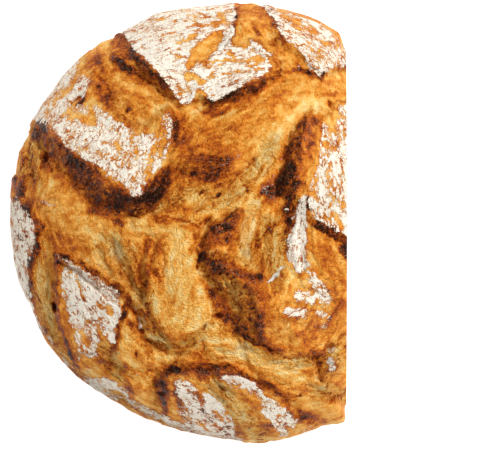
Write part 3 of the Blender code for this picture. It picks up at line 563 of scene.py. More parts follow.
    ("north gate streak", 0.33, 0.6, ((12.5, 108, 1.5), (14.5, 103.5, 1.5))),
    ("north gate gold", -0.06, 0.7, ((7.5, 110, 3), (7, 104, 3))),
    ("north-east gully", 0.09, 0.7, ((26.5, 97.5, 4.5), (34, 91.5, 4))),
    ("north-east foot", 0.51, 0.5, ((31, 82.5, 1.5), (37, 83, 1.5), (42.5, 81, 2), (51.5, 80.5, 1.5))),
    ("gully spot", -0.06, 0.4, ((23.5, 101, 1), (24, 97.5, 1))),
    ("east field", 0.12, 0.7, ((55.5, 76, 3.5), (59.5, 67, 4))),
    ("east field pits", 0.13, 0.4, ((54.5, 65, 1), (55, 63.5, 1))),
    ("east field marks", 0.29, 0.5, ((47.5, 69.5, 1), (58.5, 70, 1))),
    ("west plate gap", 0.08, 0.6, ((-76, 73.5, 4.5), (-80.5, 68, 3))),
    ("west plate hole", 0.68, 0.3, ((-83.5, 65, 1), (-82.5, 66.5, 1), (-81.5, 67.5, 1))),
    ("gully gold", -0.05, 0.7, ((-61.5, 78, 3), (-52.5, 76.5, 4), (-44, 73.5, 2))),
    ("gully tip gold", -0.13, 0.7, ((-38.5, 65.5, 3.5), (-35, 61.5, 3))),
    ("gully rust", 0.08, 0.8, ((-61.5, 68, 5.5), (-53, 64, 7))),
    ("gully spots", 0.79, 0.5, ((-56.5, 60, 1.5), (-55, 61.5, 1))),
    ("gully far", 0.33, 0.7, (
        (-73.5, 92.5, 3.5), (-72.5, 84.5, 4.5), (-69.5, 76, 4.5), (-66.5, 69.5, 3.5))),
    ("flap skin", 0.23, 0.7, ((-87, -43, 5.5), (-74, -54, 7.5), (-74, -67.5, 5.5))),
    ("flap tail dark", -0.11, 0.5, ((-63.5, -70.5, 1.5), (-60, -77, 1.5), (-56.5, -82, 1))),
    ("flap tail fold", 0.2, 0.5, ((-67.5, -76.5, 1.5), (-63.5, -82, 2))),
    ("flap tail gold", -0.29, 0.7, ((-79, -78, 3), (-73.5, -79, 3))),
    ("flap tip", -0.25, 0.4, ((-58.5, -41, 1.5), (-56.5, -45, 2), (-59.5, -49.5, 1.5))),
    # Painted shade in the crease east of the flap's tip.
    ("flap lee shade", 0.19, 0.5, ((-53.5, -47, 1.5), (-49.5, -52.5, 1.5), (-49, -59.5, 1.5))),
    ("low valley gold", -0.05, 0.7, ((-55, -65, 4), (-51.5, -82.5, 4.5))),
    ("low valley spot", 0.37, 0.5, ((-51.5, -72, 1.5),)),
    ("low valley olive", -0.04, 0.7, ((-46, -67, 2), (-38.5, -71, 3), (-27.5, -73.5, 3.5))),
    # Painted shade at the south plate's north-west shoulder, in these two marks.
    ("south lee shade", 0.08, 0.7, ((-39.5, -84.5, 4.5), (-39, -91.5, 5), (-36, -98.5, 4))),
    ("south lee shade top", 0.3, 0.6, ((-36.5, -79, 3.5), (-29.5, -81.5, 2))),
    ("south plate brow char", 0.25, 0.5, (
        (-33, -81, 2), (-23, -81, 2), (-14, -81.5, 5), (-7, -83, 3.5), (2, -83, 2), (10, -86, 1.5))),
    ("south band", 0.19, 0.6, ((-17.5, -73, 2), (-8, -75, 3), (5.5, -77, 2), (15, -81.5, 2))),
    ("south field light", -0.16, 0.8, (
        (-3, -70.5, 4.5), (11, -71.5, 4.5), (27.5, -79, 4.5), (38.5, -84.5, 4.5))),
    ("south strip", -0.21, 0.7, (
        (-11, -87, 3), (-3.5, -95.5, 3.5), (5.5, -104.5, 3.5), (12, -114.5, 4.5))),
    ("south strip brown", -0.19, 0.5, ((-9.5, -86.5, 1.5), (-5, -89.5, 2), (-4, -93, 1.5))),
    ("south groove brown", 0.05, 0.6, (
        (5.5, -95.5, 2), (12, -102.5, 3), (18.5, -111, 3), (25, -116.5, 2))),
    ("south plate west", 0.41, 0.6, (
        (-29.5, -93.5, 1.5), (-27.5, -100, 1.5), (-24, -108, 1.5), (-21, -113.5, 1.5))),
    ("south-east rust", 0.11, 0.7, ((23, -88, 4), (33, -93.5, 4))),
    ("south-east marks", 0.05, 0.4, ((27.5, -94, 1), (31.5, -97, 1))),
    ("south-east mark", 0.61, 0.4, ((37, -94.5, 1), (39, -95, 1))),
    ("chip skin", -0.07, 0.6, ((58.5, -71.5, 3), (60.5, -79, 2), (56, -87, 3))),
    ("chip crack", 0.26, 0.4, ((51, -70.5, 1), (53, -68, 1), (58, -66.5, 0.5))),
    ("dome foot", 0.09, 0.5, (
        (17.5, -69, 2), (25, -71.5, 2), (34, -73, 2), (41, -73, 2), (48.5, -72.5, 1.5))),
    ("fold marks", 0.16, 0.4, ((44.5, -91, 1), (50.5, -94.5, 1), (56, -96.5, 1))),
    ("fold hole", 0.22, 0.4, ((55, -99, 1), (58.5, -97.5, 0.5))),
    ("lobe rim", 0.39, 0.7, ((39.5, -104.5, 2), (45, -107.5, 3), (51.5, -109.5, 2))),
    ("seam west", -0.79, 0.4, ((-53.5, 3, 1), (-51, 4.5, 0.5))),
    ("seam mid", 0.17, 0.5, ((-44, 3, 0.5), (-38.5, 1, 1), (-34.5, 2, 0.5))),
    ("seam east", 0.4, 0.5, ((-32.5, 2, 0.5), (-24, 1, 0.5), (-18, -2, 0.5))),
    ("seam end", 0.43, 0.5, ((-16.5, -1, 1), (-12.5, 2, 1.5))),
    ("seam spots", 0.48, 0.5, ((-61.5, 0, 2), (-58.5, -1.5, 1.5))),
    ("belly seam", 0.08, 0.5, ((-24, -68, 1.5), (-18.5, -65, 1.5), (-17, -61, 1.5))),
    ("belly pit", 0.27, 0.3, ((-9, -51, 1), (-6, -51.5, 1.5))),
    ("belly pit south", 0.03, 0.3, ((-16, -59, 1), (-14, -57, 1))),
    ("middle specks a", 0.63, 0.4, ((-16, 15.5, 1), (-14, 16.5, 1))),
    ("middle specks b", 1.34, 0.4, ((-6, 14.5, 1), (-4, 15, 0.5))),
    ("middle specks c", 0.52, 0.4, ((7.5, 18.5, 1), (9.5, 16.5, 1))),
    ("middle specks d", 0.35, 0.4, ((12.5, 34, 1), (12.5, 31, 0.5))),
    ("trough creases", 0.13, 0.5, ((19, 34, 1), (15.5, 25.5, 1), (9.5, 17.5, 1))),
    ("under hump crease", -0.06, 0.5, ((-26, 20, 1), (-21, 17.5, 1), (-17, 14.5, 1))),
))

# Thin flour: cover, softness, bearing of its streaks, line.
FLOUR_LINES = rows(FlourLine, (
    ("crest flour", 0.92, 0.5, 95, (
        (40.5, 14, 1.5), (38.5, 5.5, 3), (39, -2, 3.5), (36.5, -10.5, 6), (36, -17, 6), (38.5, -24, 4))),
    ("crest tail flour", 0.7, 0.7, -50, (
        (40, -18.5, 3), (42, -24, 3.5), (45.5, -32, 3.5), (50.5, -36.5, 3.5), (54, -41, 3))),
    ("crest foot flour", 0.8, 0.6, 5, ((38, -40.5, 3.5), (45, -41, 4), (53, -43, 3))),
    ("plate middle flour", 0.9, 0.8, 62, ((-72.5, 42, 3.5), (-67.5, 36.5, 3.5))),
    ("south middle flour", 0.88, 0.8, -45, ((-13, -99.5, 3.5), (-10.5, -107.5, 3.5))),
    ("dome sliver", 0.86, 0.4, 50, ((21, -33, 1), (25, -29, 1), (28, -25, 1))),
    ("dome dust mid", 0.7, 0.8, 20, ((32, -49, 3), (40.5, -49.5, 3.5))),
    ("dome dust", 0.6, 0.8, 20, ((47.5, -49.5, 2), (54, -51.5, 3))),
    ("dome dust low", 0.52, 0.8, 20, ((46, -56.5, 2), (55, -57, 2))),
    ("ridge dust", 0.6, 0.6, 40, ((29.5, 6.5, 1), (33.5, 7.5, 1))),
    ("ridge dust low", 0.62, 0.6, 60, ((34, 2, 1), (36.5, 6, 1))),
    ("flap edge", 0.64, 0.5, -35, (
        (-95, -18.5, 1), (-90, -21.5, 1.5), (-83.5, -25, 1.5), (-76, -29.5, 1.5), (-68, -34.5, 1.5),
        (-61, -39.5, 1.5))),
    ("flap tip flour", 0.62, 0.6, -35, ((-56.5, -43, 1), (-53.5, -45.5, 1), (-50, -48, 1))),
    ("lee flour", 0.58, 0.6, -70, ((-50, -51.5, 1), (-49, -58, 1))),
    ("flap tail flour", 0.6, 0.5, 50, ((-84.5, -72.5, 1), (-82, -71.5, 1.5), (-82.5, -75, 1))),
    ("flap tail dust", 0.7, 0.8, 20, ((-80.5, -73, 2), (-73.5, -72, 2))),
    ("rim flour west", 0.56, 0.7, -65, (
        (-102.5, -59.5, 1.5), (-97.5, -66.5, 1.5), (-91.5, -75, 1.5), (-82.5, -84.5, 1.5),
        (-72.5, -92.5, 1.5))),
    ("rim flour south", 0.7, 0.8, -25, (
        (-56, -98, 2), (-46, -103.5, 3), (-34, -109.5, 3), (-22, -114.5, 3), (-8, -118.5, 2),
        (5.5, -120.5, 1.5))),
    ("valley sliver", 0.66, 0.5, 80, ((-102, -16.5, 0.5), (-101, -19, 1))),
    ("west specks", 0.48, 0.8, 20, ((-104, 12, 2), (-100.5, 9.5, 2), (-95.5, 9, 1.5))),
    ("lip flour", 0.55, 0.6, -30, ((-120.5, 16.5, 1), (-116.5, 13, 1.5))),
    ("low spot", 0.62, 0.5, 0, ((-51.5, -82.5, 1), (-50.5, -83.5, 1))),
    ("chip line", 0.7, 0.5, 10, ((53.5, -70.5, 1), (57, -69.5, 1))),
    ("north finger", 1.0, 0.5, 70, ((2, 106.5, 1), (-0.5, 101, 2), (-5, 94.5, 1.5))),
    ("north rim dust", 0.6, 0.7, -12, ((17.5, 118.5, 1.5), (27.5, 116, 1.5), (38.5, 114, 1.5))),
    ("gate spur", 0.84, 0.5, 70, ((12, 99, 1), (14, 96.5, 2), (17.5, 93.5, 2), (22, 91.5, 1))),
    ("gate spur tail", 0.66, 0.5, -5, ((17.5, 92.5, 1), (23, 92, 1))),
    ("ribs flour", 0.5, 0.6, -60, ((-96.5, 39.5, 1), (-93.5, 36, 1))),
    ("wall flour", 0.46, 0.6, -50, ((-102.5, 54, 1), (-100, 50.5, 1))),
    ("lobe dust", 0.56, 0.8, 0, ((-79, -82.5, 1.5), (-77, -86, 1.5))),
    ("south-east rim dust", 0.5, 0.8, 30, ((27.5, -117.5, 2), (36.5, -115, 2), (45, -113, 1.5))),
))

# Patches of flour: cover, softness, bearing and stretch of their streaks, outline.
FLOUR_AREAS = rows(FlourArea, (
    ("north plate flour", 0.8, 1.2, 15, 4.0, (
        (-61, 106), (-59, 110), (-44, 119), (-16, 125), (4, 125), (3, 111), (1, 100), (1, 97), (6, 96),
        (11, 96), (14, 96), (19, 92), (23, 87), (24, 84), (20, 81), (14, 78), (4, 72), (-7, 65),
        (-12, 66), (-14, 70), (-18, 72), (-19, 67), (-22, 65), (-26, 63), (-31, 70), (-38, 80), (-43, 86),
        (-50, 92), (-55, 96), (-58, 100))),
    ("north-east plate flour", 0.7, 1.4, -38, 2.6, (
        (19, 116), (21, 113), (23, 108), (23, 103), (29, 98), (36, 94), (40, 89), (43, 83), (50, 80),
        (56, 84), (67, 86), (77, 100), (61, 118), (38, 125), (28, 121))),
    ("west plate flour", 0.75, 1.6, 62, 1.5, (
        (-82, 89), (-80, 82), (-77, 77), (-78, 72), (-80, 68), (-82, 65), (-79, 63), (-75, 65), (-72, 64),
        (-67, 60), (-62, 56), (-55, 53), (-47, 51), (-38, 50), (-38, 57), (-34, 62), (-30, 55), (-31, 50),
        (-33, 42), (-34, 34), (-38, 28), (-42, 25), (-46, 19), (-48, 14), (-52, 13), (-56, 16), (-58, 20),
        (-65, 23), (-68, 26), (-71, 30), (-76, 32), (-81, 34), (-84, 37), (-89, 38), (-92, 43), (-95, 48),
        (-100, 52), (-107, 55), (-112, 58), (-105, 78), (-90, 95))),
    ("west side flour", 0.76, 1.5, -82, 2.2, (
        (-120, 14), (-116, 11), (-111, 6), (-107, 0), (-106, -6), (-107, -12), (-108, -16), (-110, -23),
        (-111, -30), (-109, -37), (-108, -45), (-105, -53), (-101, -61), (-105, -64), (-111, -54),
        (-121, -43), (-129, -10), (-127, 9))),
    ("east plate flour", 0.8, 1.6, 97, 2.6, (
        (59, 64), (67, 65), (82, 40), (82, -7), (67, -12), (61, -9), (54, -4), (47, -1), (43, 4),
        (42, 11), (43, 20), (46, 25), (48, 31), (49, 40), (49, 48), (50, 54), (53, 56), (56, 50))),
    ("flap flour", 0.84, 1.4, -50, 1.8, (
        (-93, -30), (-91, -25), (-87, -24), (-82, -26), (-77, -29), (-71, -34), (-65, -38), (-60, -42),
        (-59, -46), (-60, -55), (-64, -59), (-69, -58), (-74, -55), (-80, -52), (-86, -47), (-92, -42))),
    ("flap flour west", 0.74, 1.6, -60, 1.8, (
        (-90, -41), (-82, -44), (-78, -52), (-80, -61), (-81, -67), (-80, -73), (-84, -74), (-85, -67),
        (-87, -58), (-89, -50))),
    ("flap flour middle", 0.78, 1.6, -60, 1.8, (
        (-81, -59), (-78, -55), (-73, -53), (-71, -61), (-71, -68), (-74, -73), (-80, -73), (-85, -67))),
    ("flap flour east", 0.78, 1.2, -55, 2.0, (
        (-73, -52), (-68, -54), (-64, -58), (-62, -62), (-61, -67), (-65, -67), (-69, -62), (-73, -57))),
    ("south plate flour", 0.8, 1.4, -45, 2.6, (
        (-32, -87), (-28, -85), (-23, -86), (-18, -90), (-10, -94), (-4, -99), (0, -105), (3, -111),
        (3, -120), (-3, -127), (-16, -125), (-21, -114), (-24, -102), (-30, -94))),
    ("south plate flour west", 0.7, 1.6, -55, 2.6, (
        (-32, -92), (-28, -97), (-22, -102), (-19, -111), (-16, -122), (-24, -120), (-28, -109),
        (-31, -100))),
    ("south plate flour east", 0.78, 1.4, -48, 2.6, (
        (-6, -85), (0, -83), (7, -84), (14, -87), (22, -92), (30, -99), (38, -108), (36, -113),
        (28, -118), (22, -111), (18, -105), (15, -100), (12, -96), (6, -92), (0, -91))),
    ("low side flour", 0.8, 1.4, -30, 2.6, (
        (-79, -87), (-74, -85), (-67, -85), (-60, -89), (-54, -95), (-58, -98), (-67, -98), (-75, -94))),
    ("chip flour", 0.8, 1.2, -70, 2.6, ((53, -73), (57, -73), (59, -82), (54, -82))),
))

# Streaks worn bare in the flour: amount, softness, lines.
BARE = rows(Streaks, (
    ("north plate tear", 0.9, 0.3, (
        ((-22.5, 85, 1.5), (-18, 91, 4), (-12.5, 95.5, 5), (-8, 100.5, 3.5), (-6, 103.5, 1.5)),
    )),
    ("north plate small tear", 0.8, 0.4, (((0, 92, 1.5), (2, 91, 1)),)),
    ("north plate scratches", 0.45, 0.6, (
        ((-3.5, 112, 1.5), (-0.5, 108, 1.5)), ((-16.5, 114.5, 0.5), (-9, 111, 0.5), (-6, 113.5, 1)),
        ((11, 84.5, 1), (17.5, 87.5, 1)), ((-29.5, 91.5, 1), (-25.5, 90, 1)),
        ((-49, 95, 0.5), (-43, 94.5, 0.5)), ((-32, 79, 1), (-28.5, 76, 0.5), (-26.5, 70.5, 0.5)),
        ((-4.5, 80.5, 0.5), (5.5, 82, 0.5), (17.5, 83.5, 1)),
        ((-1, 75, 0.5), (5.5, 77, 0.5), (14.5, 80, 0.5)),
    )),
    ("north plate line", 0.6, 0.5, (
        ((-14, 87, 0.5), (-7.5, 88, 0.5), (-1, 88.5, 0.5), (5.5, 88, 0.5), (13, 89, 1), (18.5, 89, 1)),
    )),
    ("north plate tears", 0.8, 0.5, (
        ((-23, 80.5, 1.5), (-18, 78.5, 2), (-15.5, 76, 1.5)),
        ((-17, 71.5, 1.5), (-15, 69.5, 1.5), (-13, 67, 1)),
    )),
    ("north plate low gap", 0.45, 0.7, (((-23, 75, 1), (-22, 71.5, 1)),)),
    ("north plate short streak", 0.7, 0.6, (((-28.5, 98, 1), (-23, 99.5, 1), (-19, 102.5, 1)),)),
    ("north plate long streak", 0.55, 0.6, (
        ((-23, 106.5, 0.5), (-18.5, 108.5, 1), (-11, 108, 1), (-4.5, 109.5, 1.5)),
    )),
    ("north-east plate scratches", 0.45, 0.6, (
        ((29.5, 113, 1.5), (35, 111, 1.5), (40.5, 106.5, 2), (47.5, 104, 1.5)),
        ((48.5, 111, 1.5), (57, 105.5, 2), (61.5, 101, 1.5)), ((44, 101, 1), (54, 98, 1), (61.5, 97, 1)),
        ((27.5, 116.5, 1.5), (38.5, 114, 1), (49.5, 110, 1)),
    )),
    ("west plate gap", 0.7, 0.5, (((-86.5, 65, 1.5), (-82.5, 66.5, 1.5), (-78, 68, 1.5)),)),
    ("west plate streaks", 0.45, 0.5, (
        ((-55, 51.5, 2), (-47, 50.5, 3), (-38.5, 48.5, 3), (-34, 44, 1.5)),
        ((-53, 49.5, 1.5), (-53.5, 44, 1.5), (-51.5, 38.5, 1.5)),
        ((-39, 48.5, 1), (-40, 42, 1), (-42.5, 35, 1.5), (-44, 28.5, 1.5), (-45, 24, 1)),
        ((-36.5, 54, 0.5), (-34, 57, 0.5)), ((-84.5, 59, 2), (-78, 55, 2), (-71.5, 54, 2)),
        ((-35, 49.5, 1), (-36.5, 42, 1.5), (-38, 36.5, 1.5)),
    )),
    ("west plate scratches", 0.45, 0.6, (
        ((-62, 42, 1.5), (-60.5, 39.5, 1)), ((-62.5, 35, 1.5), (-63.5, 32, 1)),
        ((-76, 61.5, 1.5), (-75, 57, 1.5), (-75, 53.5, 1)), ((-88, 61.5, 1.5), (-87, 57, 1.5)),
        ((-81.5, 86, 2), (-84.5, 79, 2), (-88, 73.5, 1.5), (-93.5, 68, 1)),
        ((-91.5, 75, 0.5), (-94.5, 70.5, 0.5), (-97, 65, 1)), ((-56.5, 36, 1.5), (-54, 30.5, 2)),
        ((-59, 34, 0.5), (-58.5, 30.5, 0.5)), ((-50.5, 26, 1), (-53, 24, 1)),
    )),
    ("west plate crack", 0.45, 0.4, (((-39, 49, 0.5), (-37, 46, 0.5), (-34, 43, 0.5)),)),
    ("east plate streaks", 0.36, 0.5, (
        ((53.5, 54, 1.5), (53.5, 45, 2), (54.5, 37.5, 2)),
        ((57, 55, 1.5), (58.5, 46, 2), (57, 39.5, 1.5)), ((62.5, 53, 1.5), (62.5, 45, 1.5)),
        ((46, 34, 1.5), (45, 28.5, 1)), ((48.5, 25.5, 1), (46, 20, 1.5)),
        ((52.5, 27.5, 1.5), (53.5, 22, 1.5), (56.5, 17.5, 1)),
        ((57, 13, 1.5), (61.5, 9, 2), (60.5, 3.5, 1.5)), ((56, 5.5, 1), (60, -1, 1.5), (62, -4.5, 1)),
        ((45, 16.5, 1), (48, 11, 1)), ((60.5, 34, 1), (61, 26, 1), (60.5, 17.5, 1)),
    )),
    ("flap scratches", 0.45, 0.6, (
        ((-84.5, -29.5, 1), (-81.5, -36.5, 1), (-79, -43, 1)), ((-72.5, -43, 1), (-69.5, -47.5, 1)),
        ((-91.5, -36.5, 1), (-88, -42, 1)),
    )),
    ("flap bare middle", 0.7, 0.5, (((-66.5, -47, 2), (-65, -49.5, 1.5)),)),
    ("flap bare low", 0.7, 0.6, (((-81, -61, 1.5), (-78, -66, 2)),)),
    ("south plate scratches", 0.45, 0.6, (
        ((-30.5, -95.5, 1.5), (-27.5, -100.5, 3), (-24, -108, 3.5)),
        ((-23, -92.5, 1), (-17.5, -93.5, 1), (-14.5, -98, 1)), ((-18.5, -90, 0.5), (-12, -91.5, 0.5)),
        ((-9, -103.5, 0.5), (-4.5, -108, 1), (-1, -113, 0.5)), ((-16.5, -97, 0.5), (-15, -102.5, 0.5)),
        ((2, -88, 1.5), (6.5, -93, 1.5)), ((-65, -92.5, 1), (-59.5, -95.5, 1)),
    )),
    ("south plate wide streak", 0.45, 0.7, (
        ((9, -91.5, 1), (13, -94.5, 2), (16.5, -100, 2), (15, -104.5, 1)),
    )),
    ("south plate streaks", 0.45, 0.5, (
        ((-10, -109, 0.5), (-4.5, -113.5, 1), (0, -117.5, 0.5)), ((-16.5, -111, 0.5), (-11, -115.5, 1)),
        ((-2, -104.5, 0.5), (0.5, -110, 0.5)), ((15.5, -114.5, 2), (20, -117.5, 2)),
        ((31, -112, 1.5), (33, -114.5, 1.5)),
    )),
    ("south strip bare", 0.8, 0.4, (
        ((-11.5, -87, 1.5), (-5.5, -94, 2), (3.5, -102.5, 3), (9, -111, 3.5), (13, -120, 4)),
    )),
))

# A thin breath of flour where there is no patch of it; on the flank's crest and at the east
# ridge's foot it is partly painted sheen.
HAZE_AND_SHEEN = rows(Stroke, (
    # Partly painted sheen: the crest's grey highlights are laid as thin flour.
    ("flank crest dust and sheen", 0.2, 0.7, (
        (-10, -22, 1.5), (3, -26.5, 2), (13, -36.5, 2), (15, -48.5, 2), (14.5, -57, 1.5))),
    ("horn dust", 0.06, 0.7, ((-9.5, -15.5, 3.5), (-5.5, -20, 3))),
    ("horn top dust", 0.1, 0.7, ((5.5, 5.5, 2), (-4.5, -3.5, 3.5))),
    ("ridge top dust", 0.1, 0.7, ((44, 56, 3.5), (42, 44, 3.5))),
    # Partly painted sheen on the dark char, laid as thin flour with its real specks.
    ("ridge foot dust and sheen", 0.14, 0.7, ((34, 17.5, 3), (33, 9, 2))),
    ("west side dust", 0.12, 0.6, (
        (-119, 12, 4.5), (-115.5, -4.5, 7.5), (-115.5, -23.5, 6.5), (-110, -40, 4.5))),
    ("rim dust", 0.18, 0.8, (
        (-104.5, -56.5, 3.5), (-93.5, -73, 3.5), (-77, -89.5, 4), (-55, -100.5, 4), (-27.5, -113.5, 4.5),
        (5.5, -120, 3.5))),
    ("lip dust", 0.07, 0.7, ((-119, 22, 2), (-115.5, 16.5, 3))),
    ("dome east dust", 0.11, 0.8, ((50.5, -43, 7.5), (50.5, -54, 7.5))),
    ("flap dust", 0.12, 0.8, ((-87, -40, 5.5), (-77, -54, 7.5), (-77, -67.5, 5.5))),
    ("south dust", 0.1, 0.8, ((16.5, -100.5, 4.5), (30.5, -111.5, 4.5))),
    ("west plate rim dust", 0.15, 0.8, ((-80.5, 87, 3.5), (-93.5, 72.5, 4.5), (-103.5, 59, 3.5))),
    ("brow dust", 0.08, 0.7, ((5.5, -83.5, 2), (17.5, -90, 2), (30.5, -101, 2), (41, -108, 2))),
))

# Dough roughened by clumps of torn crumb.
RUBBLE = rows(Stroke, (
    ("north wall rubble", 1.0, 0.5, (
        (-61, 100, 4.5), (-58.5, 91.5, 7), (-51.5, 84.5, 5), (-44, 78, 3), (-35, 68, 2))),
    ("west wall rubble", 0.8, 0.5, (
        (-101, 45, 4), (-92.5, 34, 5.5), (-80.5, 22, 5.5), (-68, 12, 5), (-49.5, 10, 4),
        (-37.5, 18.5, 4.5))),
    ("horn rubble", 0.7, 0.6, ((3.5, 3.5, 4.5), (-4.5, -4.5, 7.5), (-6.5, -15.5, 7.5), (1, -23, 4.5))),
    ("hump rubble", 0.5, 0.7, ((-28.5, 29.5, 6.5), (-16.5, 32, 9), (-3.5, 28.5, 7.5))),
    ("char rubble", 0.8, 0.5, ((32, 27.5, 3.5), (28.5, 18.5, 6))),
    ("flank rubble", 0.5, 0.6, ((-4.5, -33, 5.5), (5.5, -46, 6.5), (11, -60.5, 4.5))),
    ("gully rubble", 0.35, 0.8, ((-65, 76, 6.5), (-55, 65, 9))),
    ("flap lee shade rubble", 0.5, 0.7, ((-51.5, -48.5, 3.5), (-48.5, -59.5, 3.5))),
    ("ribs rubble", 0.4, 0.7, ((-110, 39.5, 6.5), (-111, 26.5, 5.5))),
))

# Small holes torn in the crust: middle, half lengths, turn in degrees, depth.
PITS = rows(Pit, (
    ("west plate hole", -83, 66, 3.0, 1.4, 40, 3.5),
    ("valley hole", -96, -47, 2.2, 1.3, 70, 3.5),
    ("belly pit", -7, -51.5, 2.6, 1.3, 0, 3.0),
    ("belly pit south", -15, -58, 2.0, 1.3, 45, 3.0),
    ("east field pit", 55, 64, 1.8, 1.1, 90, 2.5),
    ("lobe pit", 55.5, -98.5, 2.6, 1.1, 20, 3.0),
    ("rib pit", -101, 36, 3.2, 1.6, 75, 3.0),
    ("strip pit", -5, -92, 2.4, 1.4, -50, 3.0),
    ("gully pit", 23.5, 99, 2.4, 1.0, 80, 2.0),
    ("trough pit", 13, 33, 2.2, 0.9, 90, 1.5),
    ("chip pit", 55, -68, 3.5, 0.8, 10, 2.5),
    ("horn pit", 14, -9, 2.2, 1.0, -35, 2.0),
    ("seam pit west", -53, 3.5, 2.4, 0.9, -15, 2.0),
    ("seam pit east", -13, 0.5, 3.0, 1.0, 30, 2.0),
    ("low valley pit", -51.5, -72, 2.2, 1.3, 80, 1.5),
))

# Holes of the crumb that the cut opens: middle along and up the cut, half lengths, turn from
# level, depth.
HOLES = rows(Hole, (
    (38, 34, 8.5, 3.9, -53, 6.5), (29, 50, 9.0, 3.7, -81, 6.5), (64, 32, 11.0, 8.6, 85, 1.9),
    (58, 47, 4.2, 2.1, -80, 3.5), (71, 42, 1.9, 1.3, 60, 2.5), (77, 40, 2.4, 1.2, -60, 2.5),
    (66, 43, 1.5, 1.2, 0, 2.0), (76, 18, 1.8, 1.4, 50, 2.0), (79, 30, 1.7, 1.3, -30, 2.0),
    (44, 41, 1.4, 1.1, 0, 1.8), (13, 35, 3.8, 3.2, -50, 3.6), (24, 24, 4.6, 1.3, -66, 1.6),
    (-12, 50, 6.0, 3.0, -80, 4.6), (-18, 48, 2.4, 0.9, 80, 4.0), (-40, 27, 3.6, 3.2, -70, 2.6),
    (-37, 29, 2.4, 0.9, 20, 4.0), (-53, 22, 2.5, 2.2, 0, 3.2), (-70, 35, 4.6, 2.9, -70, 4.0),
    (-87, 24, 5.0, 2.2, 10, 4.5), (-41, 38, 1.2, 0.9, 30, 1.6), (-45, 42, 1.3, 1.0, 0, 1.8),
    (-33, 50, 1.5, 1.0, 60, 2.0), (-53, 41, 1.2, 0.9, 0, 1.6), (-8, 20, 1.6, 1.1, 20, 1.5),
    (50, 4, 2.0, 0.9, 80, 2.6), (41, 7, 1.7, 0.9, 60, 2.2), (22, 6, 2.3, 1.1, 70, 2.6),
    (-20, 6, 2.8, 1.3, 40, 3.0), (-31, 6, 1.8, 0.8, 80, 2.2), (-77, 5, 3.0, 1.2, 60, 2.8),
    (-93, 7, 3.4, 1.3, 45, 2.8), (31, 46, 1.4, 0.7, -60, 1.6), (5, 44, 1.3, 0.8, 0, 1.4),
    (-62, 30, 1.4, 0.9, 10, 1.4),
))
# fmt: on

# Fine cells of the crumb: how many, their sizes, and the draw's seed.
CELL_COUNT = 900
CELL_SIZES = (0.4, 1.7)
CELL_DEPTH = 1.3
DEEPEST_CELL = 2.4
CELL_SEED = 41

# Half width from which a hole is a soft dip, and how round the bottoms of both are.
WIDE_HOLE = 6.0
DIP_CURVE = 1.1
HOLE_CURVE = 0.45

# Spacing of the crumb's points, how far from the crust its holes start and are whole, and
# its waves: size and seed.
FACE_SPACING = 0.5
CRUMB_RIND = (0.3, 2.6)
HOLE_WANDER = ((2.6, 21), (2.6, 22))
CRUMB_WAVE = (1.4, 23)


def smooth_step(value, low, high):
    share = np.clip((value - low) / (high - low), 0.0, 1.0)
    return share * share * (3.0 - 2.0 * share)


def lumps(points, size, seed):
    """Smooth noise of about -1 to 1 at points in millimetres, with lumps of this size."""
    shifted = points / size + np.array((31.7, -17.3, 8.9)) * seed
    return np.array([noise.noise(point) for point in shifted.tolist()])


def clumps(points, size, seed):
    """Round-topped clumps of this size: 0 in the seams between them, 1 on their tops."""
    shifted = points / size + np.array((13.1, 7.7, -21.3)) * seed
    nearest = [noise.voronoi(point)[0] for point in shifted.tolist()]
    return np.clip([1.5 * (second - first) for first, second, *_ in nearest], 0.0, 1.0)


def rim_radius(bearing):
    """Radius of the round, in millimetres, at bearings in degrees."""
    angles, radii = np.array(RIM, float).T
    return np.interp(bearing % 360.0, angles, radii, period=360.0)


def meridian():
    """The side view of the plain dome: radius share and height from the crown to the base's
    middle, and how much surface comes before each, with the base counted thinly."""
    dome = np.sin(np.linspace(0.0, math.pi / 2, DOME_STEPS))
    dome_z = WIDE_HEIGHT + (CROWN_HEIGHT - WIDE_HEIGHT) * (1.0 - dome**2) ** DOME_FULLNESS
    down = np.linspace(0.0, 1.0, SIDE_STEPS)[1:]
    side = 1.0 - FOOT_INSET / MEAN_RADIUS * down**FOOT_CURVE
    base = np.linspace(side[-1], 0.0, SIDE_STEPS)[1:]
    share = np.concatenate((dome, side, base))
    height = np.concatenate((dome_z, WIDE_HEIGHT * (1.0 - down), 0.0 * base))
    step = np.hypot(np.diff(share * MEAN_RADIUS), np.diff(height))
    weight = np.where(height[1:] > 0.0, 1.0, BASE_SHARE)
    area = step * weight * (share[1:] + share[:-1])
    return share, height, np.concatenate(([0.0], np.cumsum(area)))


def segment_reach(x, y, start, end):
    """Distance from each point to a straight segment, and how far along it that is."""
    along = np.subtract(end, start)
    share = (x - start[0]) * along[0] + (y - start[1]) * along[1]
    share = np.clip(share / max(along @ along, 1e-9), 0.0, 1.0)
    away = np.hypot(x - start[0] - share * along[0], y - start[1] - share * along[1])
    return away, share


def depth_inside(x, y, outline):
    """Distance to an outline, positive inside it and negative outside."""
    outline = np.array(outline, float)
    distance = np.full(len(x), np.inf)
    inside = np.zeros(len(x), bool)
    for start, end in zip(outline, np.roll(outline, -1, axis=0)):
        distance = np.minimum(distance, segment_reach(x, y, start, end)[0])
        crosses = (start[1] > y) != (end[1] > y)
        rise = end[1] - start[1] if end[1] != start[1] else 1.0
        inside ^= crosses & (x < start[0] + (y - start[1]) * (end[0] - start[0]) / rise)
    return np.where(inside, distance, -distance)


def near_box(x, y, spots, margin):
    """Which points lie within this margin of the box round some spots."""
    low = np.min(spots, axis=0) - margin
    high = np.max(spots, axis=0) + margin
    return (x > low[0]) & (x < high[0]) & (y > low[1]) & (y < high[1])


